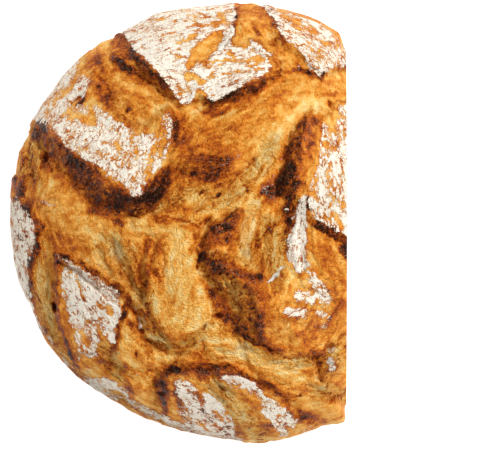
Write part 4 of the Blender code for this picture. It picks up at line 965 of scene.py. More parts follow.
def line_ratio(x, y, line):
    """Distance to a line of varying half width, over the half width there."""
    line = np.array(line, float)
    if len(line) == 1:
        line = np.repeat(line, 2, axis=0)
    ratio = np.full(len(x), np.inf)
    for start, end in zip(line, line[1:]):
        away, share = segment_reach(x, y, start[:2], end[:2])
        ratio = np.minimum(ratio, away / (start[2] + (end[2] - start[2]) * share))
    return ratio


def line_cover(x, y, line, softness):
    """1 on a line and 0 away from it, with a soft border."""
    spots = np.array(line, float)
    cover = np.zeros(len(x))
    near = near_box(x, y, spots[:, :2], spots[:, 2].max() * (1.0 + softness))
    ratio = line_ratio(x[near], y[near], line)
    cover[near] = 1.0 - smooth_step(ratio, 1.0 - softness, 1.0 + softness)
    return cover


def strongest(x, y, strokes):
    """The most that any of some strokes gives each point."""
    cover = np.zeros(len(x))
    for stroke in strokes:
        share = stroke.amount * line_cover(x, y, stroke.line, stroke.softness)
        cover = np.maximum(cover, share)
    return cover


def island_height(x, y, island):
    """Height of a torn plate, where its flank is (0 at the foot, 1 at the brow), its lift and
    the browning of its wall."""
    outline = np.array(island.outline, float)
    depth = depth_inside(x, y, outline[:, :2])
    gap = (x[:, None] - outline[:, 0]) ** 2 + (y[:, None] - outline[:, 1]) ** 2
    pull = 1.0 / (gap + CORNER_REACH**2) ** 1.5
    lift, baked = (pull @ outline[:, 2:] / pull.sum(axis=1)[:, None]).T
    flank = np.maximum(lift / island.steepness, 1.0)
    rise = depth / flank + island.edge
    share = np.clip(rise, 0.0, 1.0)
    brow = np.exp(-(((rise - 1.0) * flank / BROW_WIDTH) ** 2)) * smooth_step(lift, 1, 4)
    height = lift * (1.0 - (1.0 - share) ** island.roundness) + island.curl * brow
    return height, rise, lift, baked


def island_relief(x, y):
    """Height of all the plates; how far each point lies on a wall, how steep it is there,
    and how far that wall is baked, with painted shade darkening it toward its foot or brow."""
    found = [island_height(x, y, island) for island in ISLANDS]
    heights = np.maximum([height for height, *_ in found], 0.0)
    order = np.sort(heights, axis=0)
    wall, steep, baked = np.zeros((3, len(x)))
    for island, own, (_, rise, lift, tone) in zip(ISLANDS, heights, found):
        others = np.where(own >= order[-1], order[-2], order[-1])
        seen = np.clip(lift / WALL_LIFT, 0.0, 1.0)
        seen *= 1.0 - smooth_step(others - own, 0.5, 2.5)
        here = seen * smooth_step(rise, -0.1, 0.4) * (1.0 - smooth_step(rise, 1.0, 1.35))
        # Painted shade along the wall, darker toward its foot or its brow.
        tone += island.shade * (0.5 - smooth_step(rise, 0.4, 1.0))
        baked = np.where(here > wall, tone, baked)
        wall = np.maximum(wall, here)
        cliff = smooth_step(rise, 0.0, 0.3) * (1.0 - smooth_step(rise, 0.82, 0.98))
        steep = np.maximum(steep, seen * np.clip(lift / STEEP_LIFT, 0.0, 1.0) * cliff)
    height = (heights**PLATE_MERGE).sum(axis=0) ** (1 / PLATE_MERGE)
    return height, wall, steep, baked


def turned(x, y, angle):
    """How far places lie along a bearing in radians, and across it."""
    along = x * np.cos(angle) + y * np.sin(angle)
    return along, y * np.cos(angle) - x * np.sin(angle)


def drawn_out(points, angle, stretch):
    """Points turned to a bearing and shortened along it."""
    along, across = turned(points[:, 0], points[:, 1], angle)
    return np.stack((along / stretch, across, points[:, 2]), axis=1)


def oval_reach(x, y, oval):
    """Squared distance from a turned oval's middle, 1 on its edge."""
    along, across = turned(x - oval.x, y - oval.y, math.radians(oval.turn))
    return (along / oval.long) ** 2 + (across / oval.wide) ** 2


def oval_bowl(x, y, oval, curve):
    """1 at an oval's middle, 0 on its edge and beyond."""
    return np.clip(1.0 - oval_reach(x, y, oval), 0.0, 1.0) ** curve


def ragged(points, waves=RAGGED):
    """The points' x and y, shifted by the wander of every edge."""
    x = points[:, 0].copy()
    y = points[:, 1].copy()
    for reach, size, seed in waves:
        x += reach * lumps(points, size, seed)
        y += reach * lumps(points, size, seed + 1)
    return x, y


def flow_bearing(x, y, share):
    """Which way the dough is drawn out: by the nearest notes, and along the rim near it."""
    notes = np.array(FLOW, float)
    pull = (x[:, None] - notes[:, 0]) ** 2 + (y[:, None] - notes[:, 1]) ** 2
    pull = 1.0 / (pull + FLOW_REACH**2) ** 2
    twice = np.radians(2.0 * notes[:, 2])
    near = 4e-6 + pull.sum(axis=1)
    rim = 2.0 * np.arctan2(y, x) + math.pi
    hold = smooth_step(share, 0.86, 0.97)
    east = (1.0 - hold) * (pull @ np.cos(twice)) / near + hold * np.cos(rim)
    north = (1.0 - hold) * (pull @ np.sin(twice)) / near + hold * np.sin(rim)
    return np.degrees(np.arctan2(north, east)) / 2.0


def fibres(points, bearing, size, stretch, seed):
    """Noise of about -1 to 1, drawn out along each point's own bearing."""
    noisy = np.zeros(len(points))
    power = np.zeros(len(points))
    for turn in range(0, 180, FIBRE_TURN):
        least = math.cos(math.radians(FIBRE_TURN)) ** 2
        share = np.cos(np.radians(bearing - turn)) ** 2 - least
        near = share > 0.0
        drawn = drawn_out(points[near], math.radians(turn), stretch)
        noisy[near] += share[near] * lumps(drawn, size, seed + turn / FIBRE_TURN)
        power[near] += share[near] ** 2
    return noisy / np.sqrt(power)


def crust_relief(points, share):
    """Heights of the plates and of the dough over the plain dome at points of the dome, in
    millimetres, and the marks that the paint goes by."""
    x, y = ragged(points)
    plates, wall, steep, wall_baked_and_shade = island_relief(x, y)
    dough = np.zeros(len(x))
    for hump in HUMPS:
        dough += hump.height * oval_bowl(x, y, hump, HUMP_CURVE)
    for fold in FOLDS:
        line = [(*spot, fold.width) for spot in fold.line]
        near = near_box(x, y, np.array(fold.line, float), 3.0 * fold.width)
        dough[near] += fold.rise * np.exp(-(line_ratio(x[near], y[near], line) ** 2))
    for pit in PITS:
        dough -= pit.depth * np.exp(-(oval_reach(x, y, pit) ** 2))
    for size, height, seed in SOFT_LUMPS:
        dough += height * lumps(points, size, seed)
    bearing = flow_bearing(points[:, 0], points[:, 1], share)
    fine = fibres(points, bearing, *FINE_FIBRES)
    broad = fibres(points, bearing, *BROAD_FIBRES)
    torn = np.maximum(PLAIN_TORN + 0.5 * steep, strongest(x, y, TORN))
    torn *= 1.0 + 0.6 * lumps(points, *TORN_PATCHES)
    crisp = 0.1 + 0.3 * lumps(points, *CRISP_PATCHES) + 0.5 * steep + 0.6 * torn
    for size, height, seed in CRISP_LUMPS:
        dough += height * np.maximum(crisp, 0.05) * lumps(points, size, seed)
    dough += torn * (FIBRE_HEIGHTS[0] * fine + FIBRE_HEIGHTS[1] * broad)
    slit = (1.0 - smooth_step(np.abs(broad), 0.0, 0.1)) * smooth_step(torn, 0.3, 0.9)
    dough -= SLIT_DEPTH * slit * smooth_step(lumps(points, *SLIT_PATCHES), 0.0, 0.35)
    rubble = np.maximum(steep, strongest(x, y, RUBBLE))
    seams = np.zeros(len(x))
    # Painted shade in the seams and painted light on the clumps' tops, given as browning.
    for size, height, darkness, seed in CLUMPS:
        clump = clumps(points, size, seed) - 0.5
        dough += height * rubble * clump
        seams -= darkness * rubble * clump
    marks = {
        "fine": fine, "broad": broad, "wall": wall, "steep": steep,
        "wall_baked_and_shade": wall_baked_and_shade, "seams": seams, "torn": torn,
    }  # fmt: skip
    return plates, dough, marks


def neighbour_mean(values, links, times):
    """Values over a mesh, each blended with its neighbours' this many times."""
    first, second = links.T
    size = len(values)
    shares = 1.0 + np.bincount(first, minlength=size) + np.bincount(second, minlength=size)
    for _ in range(times):
        nearby = np.bincount(first, values[second], size)
        nearby += np.bincount(second, values[first], size)
        values = (values + nearby) / shares
    return values


def ball_points(mesh):
    """Fills a mesh with a ball of even four-sided faces and gives its points."""
    bmesh.ops.create_cube(mesh, size=2.0)
    bmesh.ops.subdivide_edges(mesh, edges=mesh.edges[:], cuts=BLANK_CUTS, use_grid_fill=True)
    ball = np.tan(np.array([vertex.co[:] for vertex in mesh.verts]) * math.pi / 4)
    return ball / np.linalg.norm(ball, axis=1)[:, None]


def loaf_points(ball, links):
    """Carries a ball's points onto the loaf, in millimetres from the middle of the round,
    and gives what the paint goes by at each of them."""
    bearing = np.arctan2(ball[:, 1], ball[:, 0])
    share, height, area = meridian()
    before = np.sqrt((1.0 - ball[:, 2]) / 2.0)
    reach = np.sqrt(area / area[-1])
    share = np.interp(before, reach, share)
    height = np.interp(before, reach, height)
    radius = share * rim_radius(np.degrees(bearing))
    outward = np.stack((np.cos(bearing), np.sin(bearing), np.zeros(len(ball))), axis=1)
    points = outward * radius[:, None]
    points[:, 2] = height
    sideways = np.where(height < WIDE_HEIGHT, 1.0, smooth_step(share, *SIDE_SHARES))
    plates, dough, marks = crust_relief(points, share)
    fade = smooth_step(height, 1.0, WIDE_HEIGHT) * (1.0 - SIDE_LOSS * sideways)
    dough *= fade
    relief = plates * fade + dough
    marks["edge"] = relief - neighbour_mean(relief, links, EDGE_TIMES)
    marks["swell"] = relief - neighbour_mean(relief, links, SWELL_TIMES)
    marks["crease"] = neighbour_mean(dough, links, EDGE_TIMES) - dough
    points += outward * (relief * sideways)[:, None]
    points[:, 2] += relief * (1.0 - sideways)
    return points, marks


def stand_in_frame(points):
    """How far the middle of the round is from the frame's origin, in millimetres."""
    low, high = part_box("loaf")
    kept = points[points[:, 0] < CUT_DISTANCE, 1]
    across = (low.y + high.y) / 2 / MM - (kept.min() + kept.max()) / 2
    return np.array((high.x / MM - CUT_DISTANCE, across, low.z / MM))


def add_object(name, data):
    made = bpy.data.objects.new(name, data)
    bpy.context.scene.collection.objects.link(made)
    return made


def mesh_piece(name, mesh):
    data = bpy.data.meshes.new(name)
    mesh.to_mesh(data)
    mesh.free()
    data.shade_smooth()
    return add_object(name, data)


def make_crust():
    """The whole round cut straight across, open at the cut, and its middle in the frame."""
    mesh = bmesh.new()
    ball = ball_points(mesh)
    links = np.array([[end.index for end in edge.verts] for edge in mesh.edges])
    points, marks = loaf_points(ball, links)
    middle = stand_in_frame(points)
    for vertex, point in zip(mesh.verts, ((points + middle) * MM).tolist()):
        vertex.co = point
    for name, values in paint_crust(points, marks).items():
        layers = mesh.verts.layers
        layer = (layers.float if values.ndim == 1 else layers.float_vector).new(name)
        for vertex, value in zip(mesh.verts, values.tolist()):
            vertex[layer] = value
    bmesh.ops.recalc_face_normals(mesh, faces=mesh.faces[:])
    cut = ((middle[0] + CUT_DISTANCE) * MM, 0.0, 0.0)
    everything = mesh.verts[:] + mesh.edges[:] + mesh.faces[:]
    bmesh.ops.bisect_plane(
        mesh, geom=everything, dist=1e-7, plane_co=cut, plane_no=(1, 0, 0), clear_outer=True
    )
    return mesh_piece("crust", mesh), middle


def piece_points(piece, middle):
    """The piece's points in millimetres from the middle of the round."""
    flat = np.empty(3 * len(piece.data.vertices), np.float32)
    piece.data.vertices.foreach_get("co", flat)
    return flat.reshape(-1, 3).astype(float) / MM - middle


def cut_outline(crust):
    """The crust's edge on the cut, as an ordered ring of points in the frame."""
    mesh = bmesh.new()
    mesh.from_mesh(crust.data)
    onward = {}
    for edge in mesh.edges:
        if edge.is_boundary:
            first, second = edge.verts
            onward.setdefault(first.index, []).append(second.index)
            onward.setdefault(second.index, []).append(first.index)
    mesh.verts.ensure_lookup_table()
    rings = []
    left = set(onward)
    while left:
        ring = [left.pop()]
        while True:
            ahead = [spot for spot in onward[ring[-1]] if spot in left]
            if not ahead:
                break
            left.discard(ahead[0])
            ring.append(ahead[0])
        rings.append(ring)
    ring = max(rings, key=len)
    outline = np.array([mesh.verts[spot].co[:] for spot in ring])
    mesh.free()
    return outline


def face_spots(outline):
    """Even spots over the cut, in y and z millimetres, clear of its outline."""
    low = outline.min(axis=0)
    high = outline.max(axis=0)
    levels = np.arange(low[1], high[1], FACE_SPACING * 0.87)
    spots = []
    for number, level in enumerate(levels):
        start = low[0] + FACE_SPACING * (0.5 if number % 2 else 0.0)
        across = np.arange(start, high[0], FACE_SPACING)
        spots.append(np.stack((across, np.full(len(across), level)), axis=1))
    spots = np.concatenate(spots)
    depth = depth_inside(spots[:, 0], spots[:, 1], outline)
    return spots[depth > FACE_SPACING * 0.6]


def draw_cells(outline):
    """The crumb's fine cells, drawn over the cut: mostly small, and longest along it."""
    draw = np.random.default_rng(CELL_SEED)
    low = outline.min(axis=0)
    high = outline.max(axis=0)
    cells = []
    for y, z, size, stretch, lean in draw.random((CELL_COUNT, 5)):
        short = CELL_SIZES[0] + (CELL_SIZES[1] - CELL_SIZES[0]) * size**5
        middle = low + (high - low) * (y, z)
        long = short * (1.0 + 0.9 * stretch)
        depth = min(CELL_DEPTH * short, DEEPEST_CELL)
        cells.append(Hole(*middle, long, short, 180.0 * lean, depth))
    return cells


def crumb_depth(spots, rind, cells):
    """How deep the crumb lies behind the cut, in millimetres."""
    flat = np.pad(spots, ((0, 0), (0, 1)))
    y, z = (at + 0.5 * lumps(flat, *wave) for at, wave in zip(spots.T, HOLE_WANDER))
    depth = np.zeros(len(spots))
    for hole in cells:
        near = near_box(y, z, [(hole.x, hole.y)], hole.long)
        curve = DIP_CURVE if hole.wide > WIDE_HOLE else HOLE_CURVE
        bowl = hole.depth * oval_bowl(y[near], z[near], hole, curve)
        depth[near] = np.maximum(depth[near], bowl)
    depth += 0.12 * lumps(flat, *CRUMB_WAVE)
    return depth * smooth_step(rind, *CRUMB_RIND)


def make_crumb(crust, middle):
    """The cut's face: a fine sheet inside the crust's edge, pressed in where cells open."""
    ring = cut_outline(crust)
    outline = ring[:, 1:] / MM - middle[1:]
    spots = np.concatenate((outline, face_spots(outline)))
    count = len(outline)
    edges = [(spot, (spot + 1) % count) for spot in range(count)]
    found = geometry.delaunay_2d_cdt(spots.tolist(), edges, [], 1, 1e-6)
    spots = np.array([spot[:] for spot in found[0]])
    rind = np.maximum(depth_inside(spots[:, 0], spots[:, 1], outline), 0.0)
    cells = list(HOLES) + draw_cells(outline)
    depth = crumb_depth(spots, rind, cells)
    places = np.empty((len(spots), 3))
    places[:, 0] = ring[0, 0] - depth * MM
    places[:, 1:] = (spots + middle[1:]) * MM
    mesh = bmesh.new()
    corners = [mesh.verts.new(place) for place in places.tolist()]
    for face in found[2]:
        mesh.faces.new([corners[spot] for spot in face])
    bmesh.ops.recalc_face_normals(mesh, faces=mesh.faces[:])
    mesh.faces.ensure_lookup_table()
    if sum(face.normal.x * face.calc_area() for face in mesh.faces) < 0.0:
        bmesh.ops.reverse_faces(mesh, faces=mesh.faces[:])
    crumb = mesh_piece("crumb", mesh)
    keep_values(crumb, "hollow", depth)
    return crumb, rind


def keep_values(piece, name, values):
    """Keeps one number, or one vector, for each point of the piece."""
    values = np.asarray(values, np.float32)
    kind, field = ("FLOAT_VECTOR", "vector") if values.ndim == 2 else ("FLOAT", "value")
    kept = piece.data.attributes.new(name, kind, "POINT")
    kept.data.foreach_set(field, values.ravel())


# Browning of the bare dough, of the side near the base, of skin under flour, of edges, of
# what stands out from its surroundings, and painted shade in creases; the palest, and the foot's heights.
DOUGH_BROWNING = 0.29
FOOT_BROWNING = 0.66
SKIN_BROWNING = 0.12
EDGE_BROWNING = 0.10
SWELL_BROWNING = 0.09
CREASE_SHADE_BROWNING = 0.2
PALEST = 0.11
FOOT_HEIGHTS = (1.0, 17.0)

# Flour: how far its grain is drawn out along each streak, and the heights it thins between.
STREAK_STRETCH = 3.2
FLOUR_FOOT = (3.0, 14.0)

# Steepness between which walls shed flour, and how much of it.
SHED_STEEPNESS = (0.12, 0.4)
SHED_SHARE = 0.85

# How much softer than written the borders of each kind of mark are.
TOAST_BLUR = 0.3
BARE_BLUR = 0.2
AREA_BLUR = 1.2

# The crust seen edge on round the cut: its thickness, how much more it has along the base,
# and the heights between which that ends.
CRUST_THICK = 3.0
BASE_THICK = 3.6
BASE_HEIGHTS = (3.0, 11.0)


def browning(points, cover, marks):
    """How far each point of the crust is baked: 0 cream, 1 black. Painted shade is added as
    browning in creases, between clumps and at the feet and lee sides of walls.
    """
    x, y = ragged(points, PAINT_WANDER)
    baked = DOUGH_BROWNING + SKIN_BROWNING * smooth_step(cover, 0.15, 0.6)
    # Walls take their own browning with painted shade, and the seams between clumps add painted shade.
    baked += (marks["wall_baked_and_shade"] - baked) * marks["wall"] + marks["seams"]
    for stroke in TOAST:
        soft = min(stroke.softness + TOAST_BLUR, 1.0)
        baked += stroke.amount * line_cover(x, y, stroke.line, soft)
    baked += EDGE_BROWNING * np.clip(marks["edge"] / 0.35, -0.15, 1.0)
    baked += SWELL_BROWNING * np.clip(marks["swell"], -0.4, 1.0)
    foot = 1.0 - smooth_step(points[:, 2], *FOOT_HEIGHTS)
    # Painted shade: creases are browned darker.
    baked += CREASE_SHADE_BROWNING * smooth_step(marks["crease"], 0.2, 0.8)
    baked += (FOOT_BROWNING - baked) * foot
    return np.clip(baked, PALEST, 1.0)


def flour_cover(points, marks):
    """How thickly flour lies, 0.5 at the edge of a patch, and its streaks' bearing and
    stretch."""
    x, y = ragged(points, FLOUR_WANDER)
    cover = np.zeros(len(x))
    streak = np.zeros(len(x))
    stretch = np.full(len(x), STREAK_STRETCH)
    for area in FLOUR_AREAS:
        soft = AREA_BLUR * area.softness
        near = near_box(x, y, area.outline, soft)
        depth = depth_inside(x[near], y[near], area.outline)
        share = np.zeros(len(x))
        share[near] = area.cover * smooth_step(depth, -soft, soft)
        streak = np.where(share > cover, area.streak, streak)
        stretch = np.where(share > cover, area.stretch, stretch)
        cover = np.maximum(cover, share)
    cover *= 1.0 - SHED_SHARE * smooth_step(marks["steep"], *SHED_STEEPNESS)
    for line in FLOUR_LINES:
        share = line.cover * line_cover(x, y, line.line, line.softness)
        streak = np.where(share > cover, line.streak, streak)
        stretch = np.where(share > cover, STREAK_STRETCH, stretch)
        cover = np.maximum(cover, share)
    for bare in BARE:
        soft = min(bare.softness + BARE_BLUR, 1.0)
        for line in bare.lines:
            cover *= 1.0 - bare.amount * line_cover(x, y, line, soft)
    return cover * smooth_step(points[:, 2], *FLOUR_FOOT), np.radians(streak), stretch


def paint_crust(points, marks):
    """The values that the crust's finish goes by, at each of its points."""
    cover, streak, stretch = flour_cover(points, marks)
    return {
        "browning": browning(points, cover, marks),
        "cover": cover,
        "haze": strongest(*ragged(points, PAINT_WANDER), HAZE_AND_SHEEN),
        "grain": drawn_out(points, streak, stretch),
        "fibre": 0.6 * marks["fine"] + 0.6 * marks["broad"],
        "torn": np.clip(marks["torn"], 0.0, 1.0),
        # Painted shade: narrow creases and, more weakly, wide hollows are darkened.
        "painted_shade": np.maximum(
            smooth_step(marks["crease"], 0.2, 0.9),
            0.2 * smooth_step(-marks["swell"], 0.6, 2.6),
        ),
    }


def paint_crumb(crumb, middle, rind):
    """Crust seen edge on round the crumb: thick and dark along the base, thin elsewhere."""
    height = piece_points(crumb, middle)[:, 2]
    low = 1.0 - smooth_step(height, *BASE_HEIGHTS)
    thick = CRUST_THICK + BASE_THICK * low
    keep_values(crumb, "edge", 1.0 - smooth_step(rind, 0.2 * thick, thick))
    dark = 1.0 - smooth_step(rind, 0.4, 2.0)
    keep_values(crumb, "browning", 0.38 + 0.26 * low + (0.2 + 0.24 * low) * dark)


def linear(red, green, blue):
    """A colour named by its usual 0 to 255 parts, as the shader takes it."""
    parts = []
    for part in (red, green, blue):
        share = part / 255
        parts.append(share / 12.92 if share <= 0.04045 else ((share + 0.055) / 1.055) ** 2.4)
    return (*parts, 1.0)


# Colours of the crust as it browns.
BROWNING_RAMP = (
    (0.00, (255, 222, 154)), (0.15, (251, 197, 108)), (0.30, (240, 165, 68)),
    (0.45, (219, 130, 38)), (0.60, (186, 91, 20)), (0.75, (138, 56, 8)),
    (0.88, (84, 30, 2)), (1.00, (38, 14, 2)),
)  # fmt: skip

# Pale flecks on the darkest crust, which are painted glints; thin and thick flour; the tint of the
# painted shade in creases and hollows.
PAINTED_GLINT_TONE = linear(204, 156, 118)
THIN_FLOUR = linear(226, 190, 152)
THICK_FLOUR = linear(254, 243, 226)
PAINTED_SHADE_TINT = linear(198, 146, 96)

# The crumb's tones, and the painted shade of its holes, darker in the deep ones.
CRUMB_RAMP = (
    (0.10, (182, 128, 72)), (0.38, (206, 156, 98)), (0.62, (220, 175, 119)),
    (0.90, (234, 196, 146)),
)  # fmt: skip
HOLE_SHADE_TONE = linear(170, 120, 70)
DEEP_HOLE_SHADE = linear(108, 74, 40)


def join(tree, socket, value):
    """Feeds a socket from another socket, or sets its own value."""
    if isinstance(value, bpy.types.NodeSocket):
        tree.links.new(value, socket)
    else:
        socket.default_value = value


def feed(tree, node, inputs):
    for name, value in inputs.items():
        join(tree, node.inputs[name], value)


def add_node(tree, kind, inputs, **settings):
    made = tree.nodes.new("ShaderNode" + kind)
    for name, value in settings.items():
        setattr(made, name, value)
    feed(tree, made, inputs)
    return made


def reckon(tree, operation, first, second=0.0):
    inputs = {0: first, 1: second}
    return add_node(tree, "Math", inputs, operation=operation).outputs[0]


def times(tree, first, second):
    return reckon(tree, "MULTIPLY", first, second)


def remainder(tree, value):
    """What a share leaves of 1."""
    return reckon(tree, "SUBTRACT", 1.0, value)


def weigh(tree, value, weight, middle=0.5):
    """A value's distance from its middle, times a weight."""
    return times(tree, reckon(tree, "SUBTRACT", value, middle), weight)


def total(tree, *values):
    whole = values[0]
    for value in values[1:]:
        whole = reckon(tree, "ADD", whole, value)
    return whole


def soft_step(tree, value, low, high):
    inputs = {"Value": value, "From Min": low, "From Max": high}
    made = add_node(tree, "MapRange", inputs, interpolation_type="SMOOTHSTEP")
    return made.outputs["Result"]


def noise_at(tree, place, size, detail=3.0, roughness=0.55, distortion=0.0):
    """Cloudy noise around 0.5, with clouds of this size in millimetres."""
    inputs = {
        "Vector": place, "Scale": 1.0 / size, "Detail": detail,
        "Roughness": roughness, "Distortion": distortion,
    }  # fmt: skip
    return add_node(tree, "TexNoise", inputs).outputs["Fac"]


def blend_colours(tree, share, first, second, way="MIX"):
    inputs = {0: share, 6: first, 7: second}
    made = add_node(tree, "Mix", inputs, data_type="RGBA", blend_type=way)
    return made.outputs[2]


def colour_ramp(tree, value, stops):
    made = add_node(tree, "ValToRGB", {"Fac": value})
    elements = made.color_ramp.elements
    while len(elements) < len(stops):
        elements.new(0.5)
    for element, (place, colour) in zip(elements, stops):
        element.position = place
        element.color = linear(*colour)
    return made.outputs["Color"]


def new_group(name, inputs, outputs):
    """An empty shader node group with these sockets, and its inner ends."""
    group = bpy.data.node_groups.new(name, "ShaderNodeTree")
    for side, sockets in (("INPUT", inputs), ("OUTPUT", outputs)):
        for title, kind in sockets.items():
            kind = "NodeSocket" + kind
            group.interface.new_socket(name=title, in_out=side, socket_type=kind)
    start = group.nodes.new("NodeGroupInput").outputs
    end = group.nodes.new("NodeGroupOutput").inputs
    return group, start, end


def make_grain_group():
    """Baked crust: its mottled browning, blisters and pits, and pale flecks on the darkest crust
    that are painted glints.
    """
    group, given, made = new_group(
        "baked grain",
        {"Place": "Vector", "Browning": "Float", "Fibre": "Float", "Torn": "Float"},
        {"Colour": "Color", "Height": "Float", "Roughness": "Float", "Glint": "Float"},
    )
    place = given["Place"]
    blotch = noise_at(group, place, 14.0, 2.0, 0.5, 0.3)
    patch = noise_at(group, place, 5.0, 5.0, 0.62, 0.5)
    stain = soft_step(group, patch, 0.46, 0.64)
    mottle = noise_at(group, place, 2.2, 3.0, 0.6, 0.2)
    fine = noise_at(group, place, 1.0, 2.0, 0.65)
    thread = soft_step(group, reckon(group, "ABSOLUTE", given["Fibre"]), 0.03, 0.13)
    open_patch = soft_step(group, noise_at(group, place, 4.5, 2.0, 0.5), 0.47, 0.6)
    crack = times(group, times(group, remainder(group, thread), open_patch), given["Torn"])
    inputs = {"Vector": place, "Scale": 1.0 / 3.0, "Detail": 2.0}
    wander = add_node(group, "TexNoise", inputs).outputs["Color"]
    inputs = {0: wander, 1: (2.6, 2.6, 2.6), 2: place}
    bent = add_node(group, "VectorMath", inputs, operation="MULTIPLY_ADD").outputs["Vector"]
    inputs = {"Vector": bent, "Scale": 1.0 / 1.9, "Randomness": 1.0}
    cell = add_node(group, "TexVoronoi", inputs)
    rare = reckon(group, "GREATER_THAN", cell.outputs["Color"], 0.78)
    dot = remainder(group, soft_step(group, cell.outputs["Distance"], 0.16, 0.4))
    speck = times(group, dot, rare)
    uneven = total(
        group, weigh(group, blotch, 0.52), weigh(group, stain, 0.16, 0.4),
        weigh(group, mottle, 0.3), weigh(group, fine, 0.62),
    )  # fmt: skip
    swing = total(
        group, 0.28, times(group, given["Browning"], 0.84), times(group, given["Torn"], 0.5)
    )
    heat = total(
        group, given["Browning"], times(group, uneven, swing),
        weigh(group, cell.outputs["Distance"], 0.1, 0.45),
        weigh(group, given["Fibre"], 0.27, 0.0), times(group, speck, 0.2),
        times(group, crack, 0.45),
    )  # fmt: skip
    # Painted glints: pale flecks mixed into the colour of the darkest crust.
    painted_glint = soft_step(group, noise_at(group, place, 0.8, 1.0, 0.5), 0.6, 0.7)
    painted_glint = times(group, painted_glint, times(group, soft_step(group, heat, 0.5, 0.8), 0.5))
    browned = colour_ramp(group, heat, BROWNING_RAMP)
    join(group, made["Colour"], blend_colours(group, painted_glint, browned, PAINTED_GLINT_TONE))
    height = total(
        group, weigh(group, patch, 1.0), weigh(group, mottle, 3.2),
        weigh(group, fine, 3.4), weigh(group, cell.outputs["Distance"], -0.8, 0.45),
        times(group, speck, -0.5), times(group, crack, -1.2),
    )  # fmt: skip
    coarse = total(group, 0.35, times(group, given["Torn"], 1.25))
    join(group, made["Height"], times(group, height, coarse))
    rough = total(group, 0.6, weigh(group, fine, 0.5), weigh(group, heat, -0.22))
    join(group, made["Roughness"], rough)
    oily = soft_step(group, heat, 0.45, 0.85)
    spots = soft_step(group, noise_at(group, place, 1.0, 2.0, 0.6), 0.55, 0.64)
    join(group, made["Glint"], times(group, times(group, oily, spots), 0.42))
    return group


def make_flour_group():
    """Flour baked onto the skin: cracked patches drawn out in streaks, and a thin haze,
    which in a few places is painted sheen.
    """
    group, given, made = new_group(
        "flour dusting",
        {
            "Place": "Vector", "Grain": "Vector", "Cover": "Float", "Haze": "Float",
            "Fibre": "Float",
        },
        {"Mask": "Float", "Tone": "Color", "Height": "Float"},
    )  # fmt: skip
    streak = noise_at(group, given["Grain"], 2.2, 4.0, 0.65, 0.3)
    vein = noise_at(group, given["Grain"], 3.6, 3.0, 0.6, 0.4)
    crumbly = noise_at(group, given["Place"], 1.1, 3.0, 0.65)
    floc = noise_at(group, given["Place"], 0.6, 1.0, 0.5)
    gap = reckon(group, "ABSOLUTE", reckon(group, "SUBTRACT", vein, 0.5))
    crack = remainder(group, soft_step(group, gap, 0.008, 0.05))
    inputs = {"Vector": given["Grain"], "Scale": 1.0 / 2.8, "Randomness": 1.0}
    flake = add_node(group, "TexVoronoi", inputs, feature="DISTANCE_TO_EDGE")
    seam = remainder(group, soft_step(group, flake.outputs["Distance"], 0.03, 0.15))
    broken = soft_step(group, noise_at(group, given["Place"], 5.0, 2.0, 0.5), 0.42, 0.6)
    worn = noise_at(group, given["Place"], 9.0, 2.0, 0.5)
    raw = total(
        group, given["Cover"], weigh(group, worn, 0.8), weigh(group, streak, 1.0),
        weigh(group, crumbly, 0.8), weigh(group, floc, 0.5),
        weigh(group, given["Fibre"], 0.12, 0.0), times(group, crack, -0.22),
        times(group, times(group, seam, broken), -0.26),
    )  # fmt: skip
    lying = soft_step(group, raw, 0.45, 0.55)
    thick = soft_step(group, raw, 0.48, 0.74)
    dusty = total(group, given["Haze"], weigh(group, crumbly, 2.2), weigh(group, streak, 0.9))
    film = times(group, soft_step(group, dusty, 0.3, 0.75), 0.55)
    mask = reckon(group, "MAXIMUM", lying, film)
    join(group, made["Mask"], reckon(group, "MINIMUM", mask, 1.0))
    join(group, made["Tone"], blend_colours(group, thick, THIN_FLOUR, THICK_FLOUR))
    height = total(group, times(group, lying, 0.4), weigh(group, raw, 0.6))
    join(group, made["Height"], height)
    return group


def place_group(tree, group, inputs):
    return add_node(tree, "Group", inputs, node_tree=group).outputs


def kept(tree, name, output="Fac"):
    """A value kept on the mesh."""
    return add_node(tree, "Attribute", {}, attribute_name=name).outputs[output]


def millimetres(tree):
    """The place on the piece, in millimetres."""
    place = add_node(tree, "TexCoord", {}).outputs["Object"]
    inputs = {"Vector": place, "Scale": 1000.0}
    return add_node(tree, "VectorMath", inputs, operation="SCALE").outputs["Vector"]


def new_finish(name):
    finish = bpy.data.materials.new(name)
    finish.use_nodes = True
    return finish, finish.node_tree, finish.node_tree.nodes["Principled BSDF"]


def press(tree, height, strength):
    """A bump normal from a height in millimetres."""
    inputs = {"Height": height, "Strength": strength, "Distance": MM}
    return add_node(tree, "Bump", inputs).outputs["Normal"]


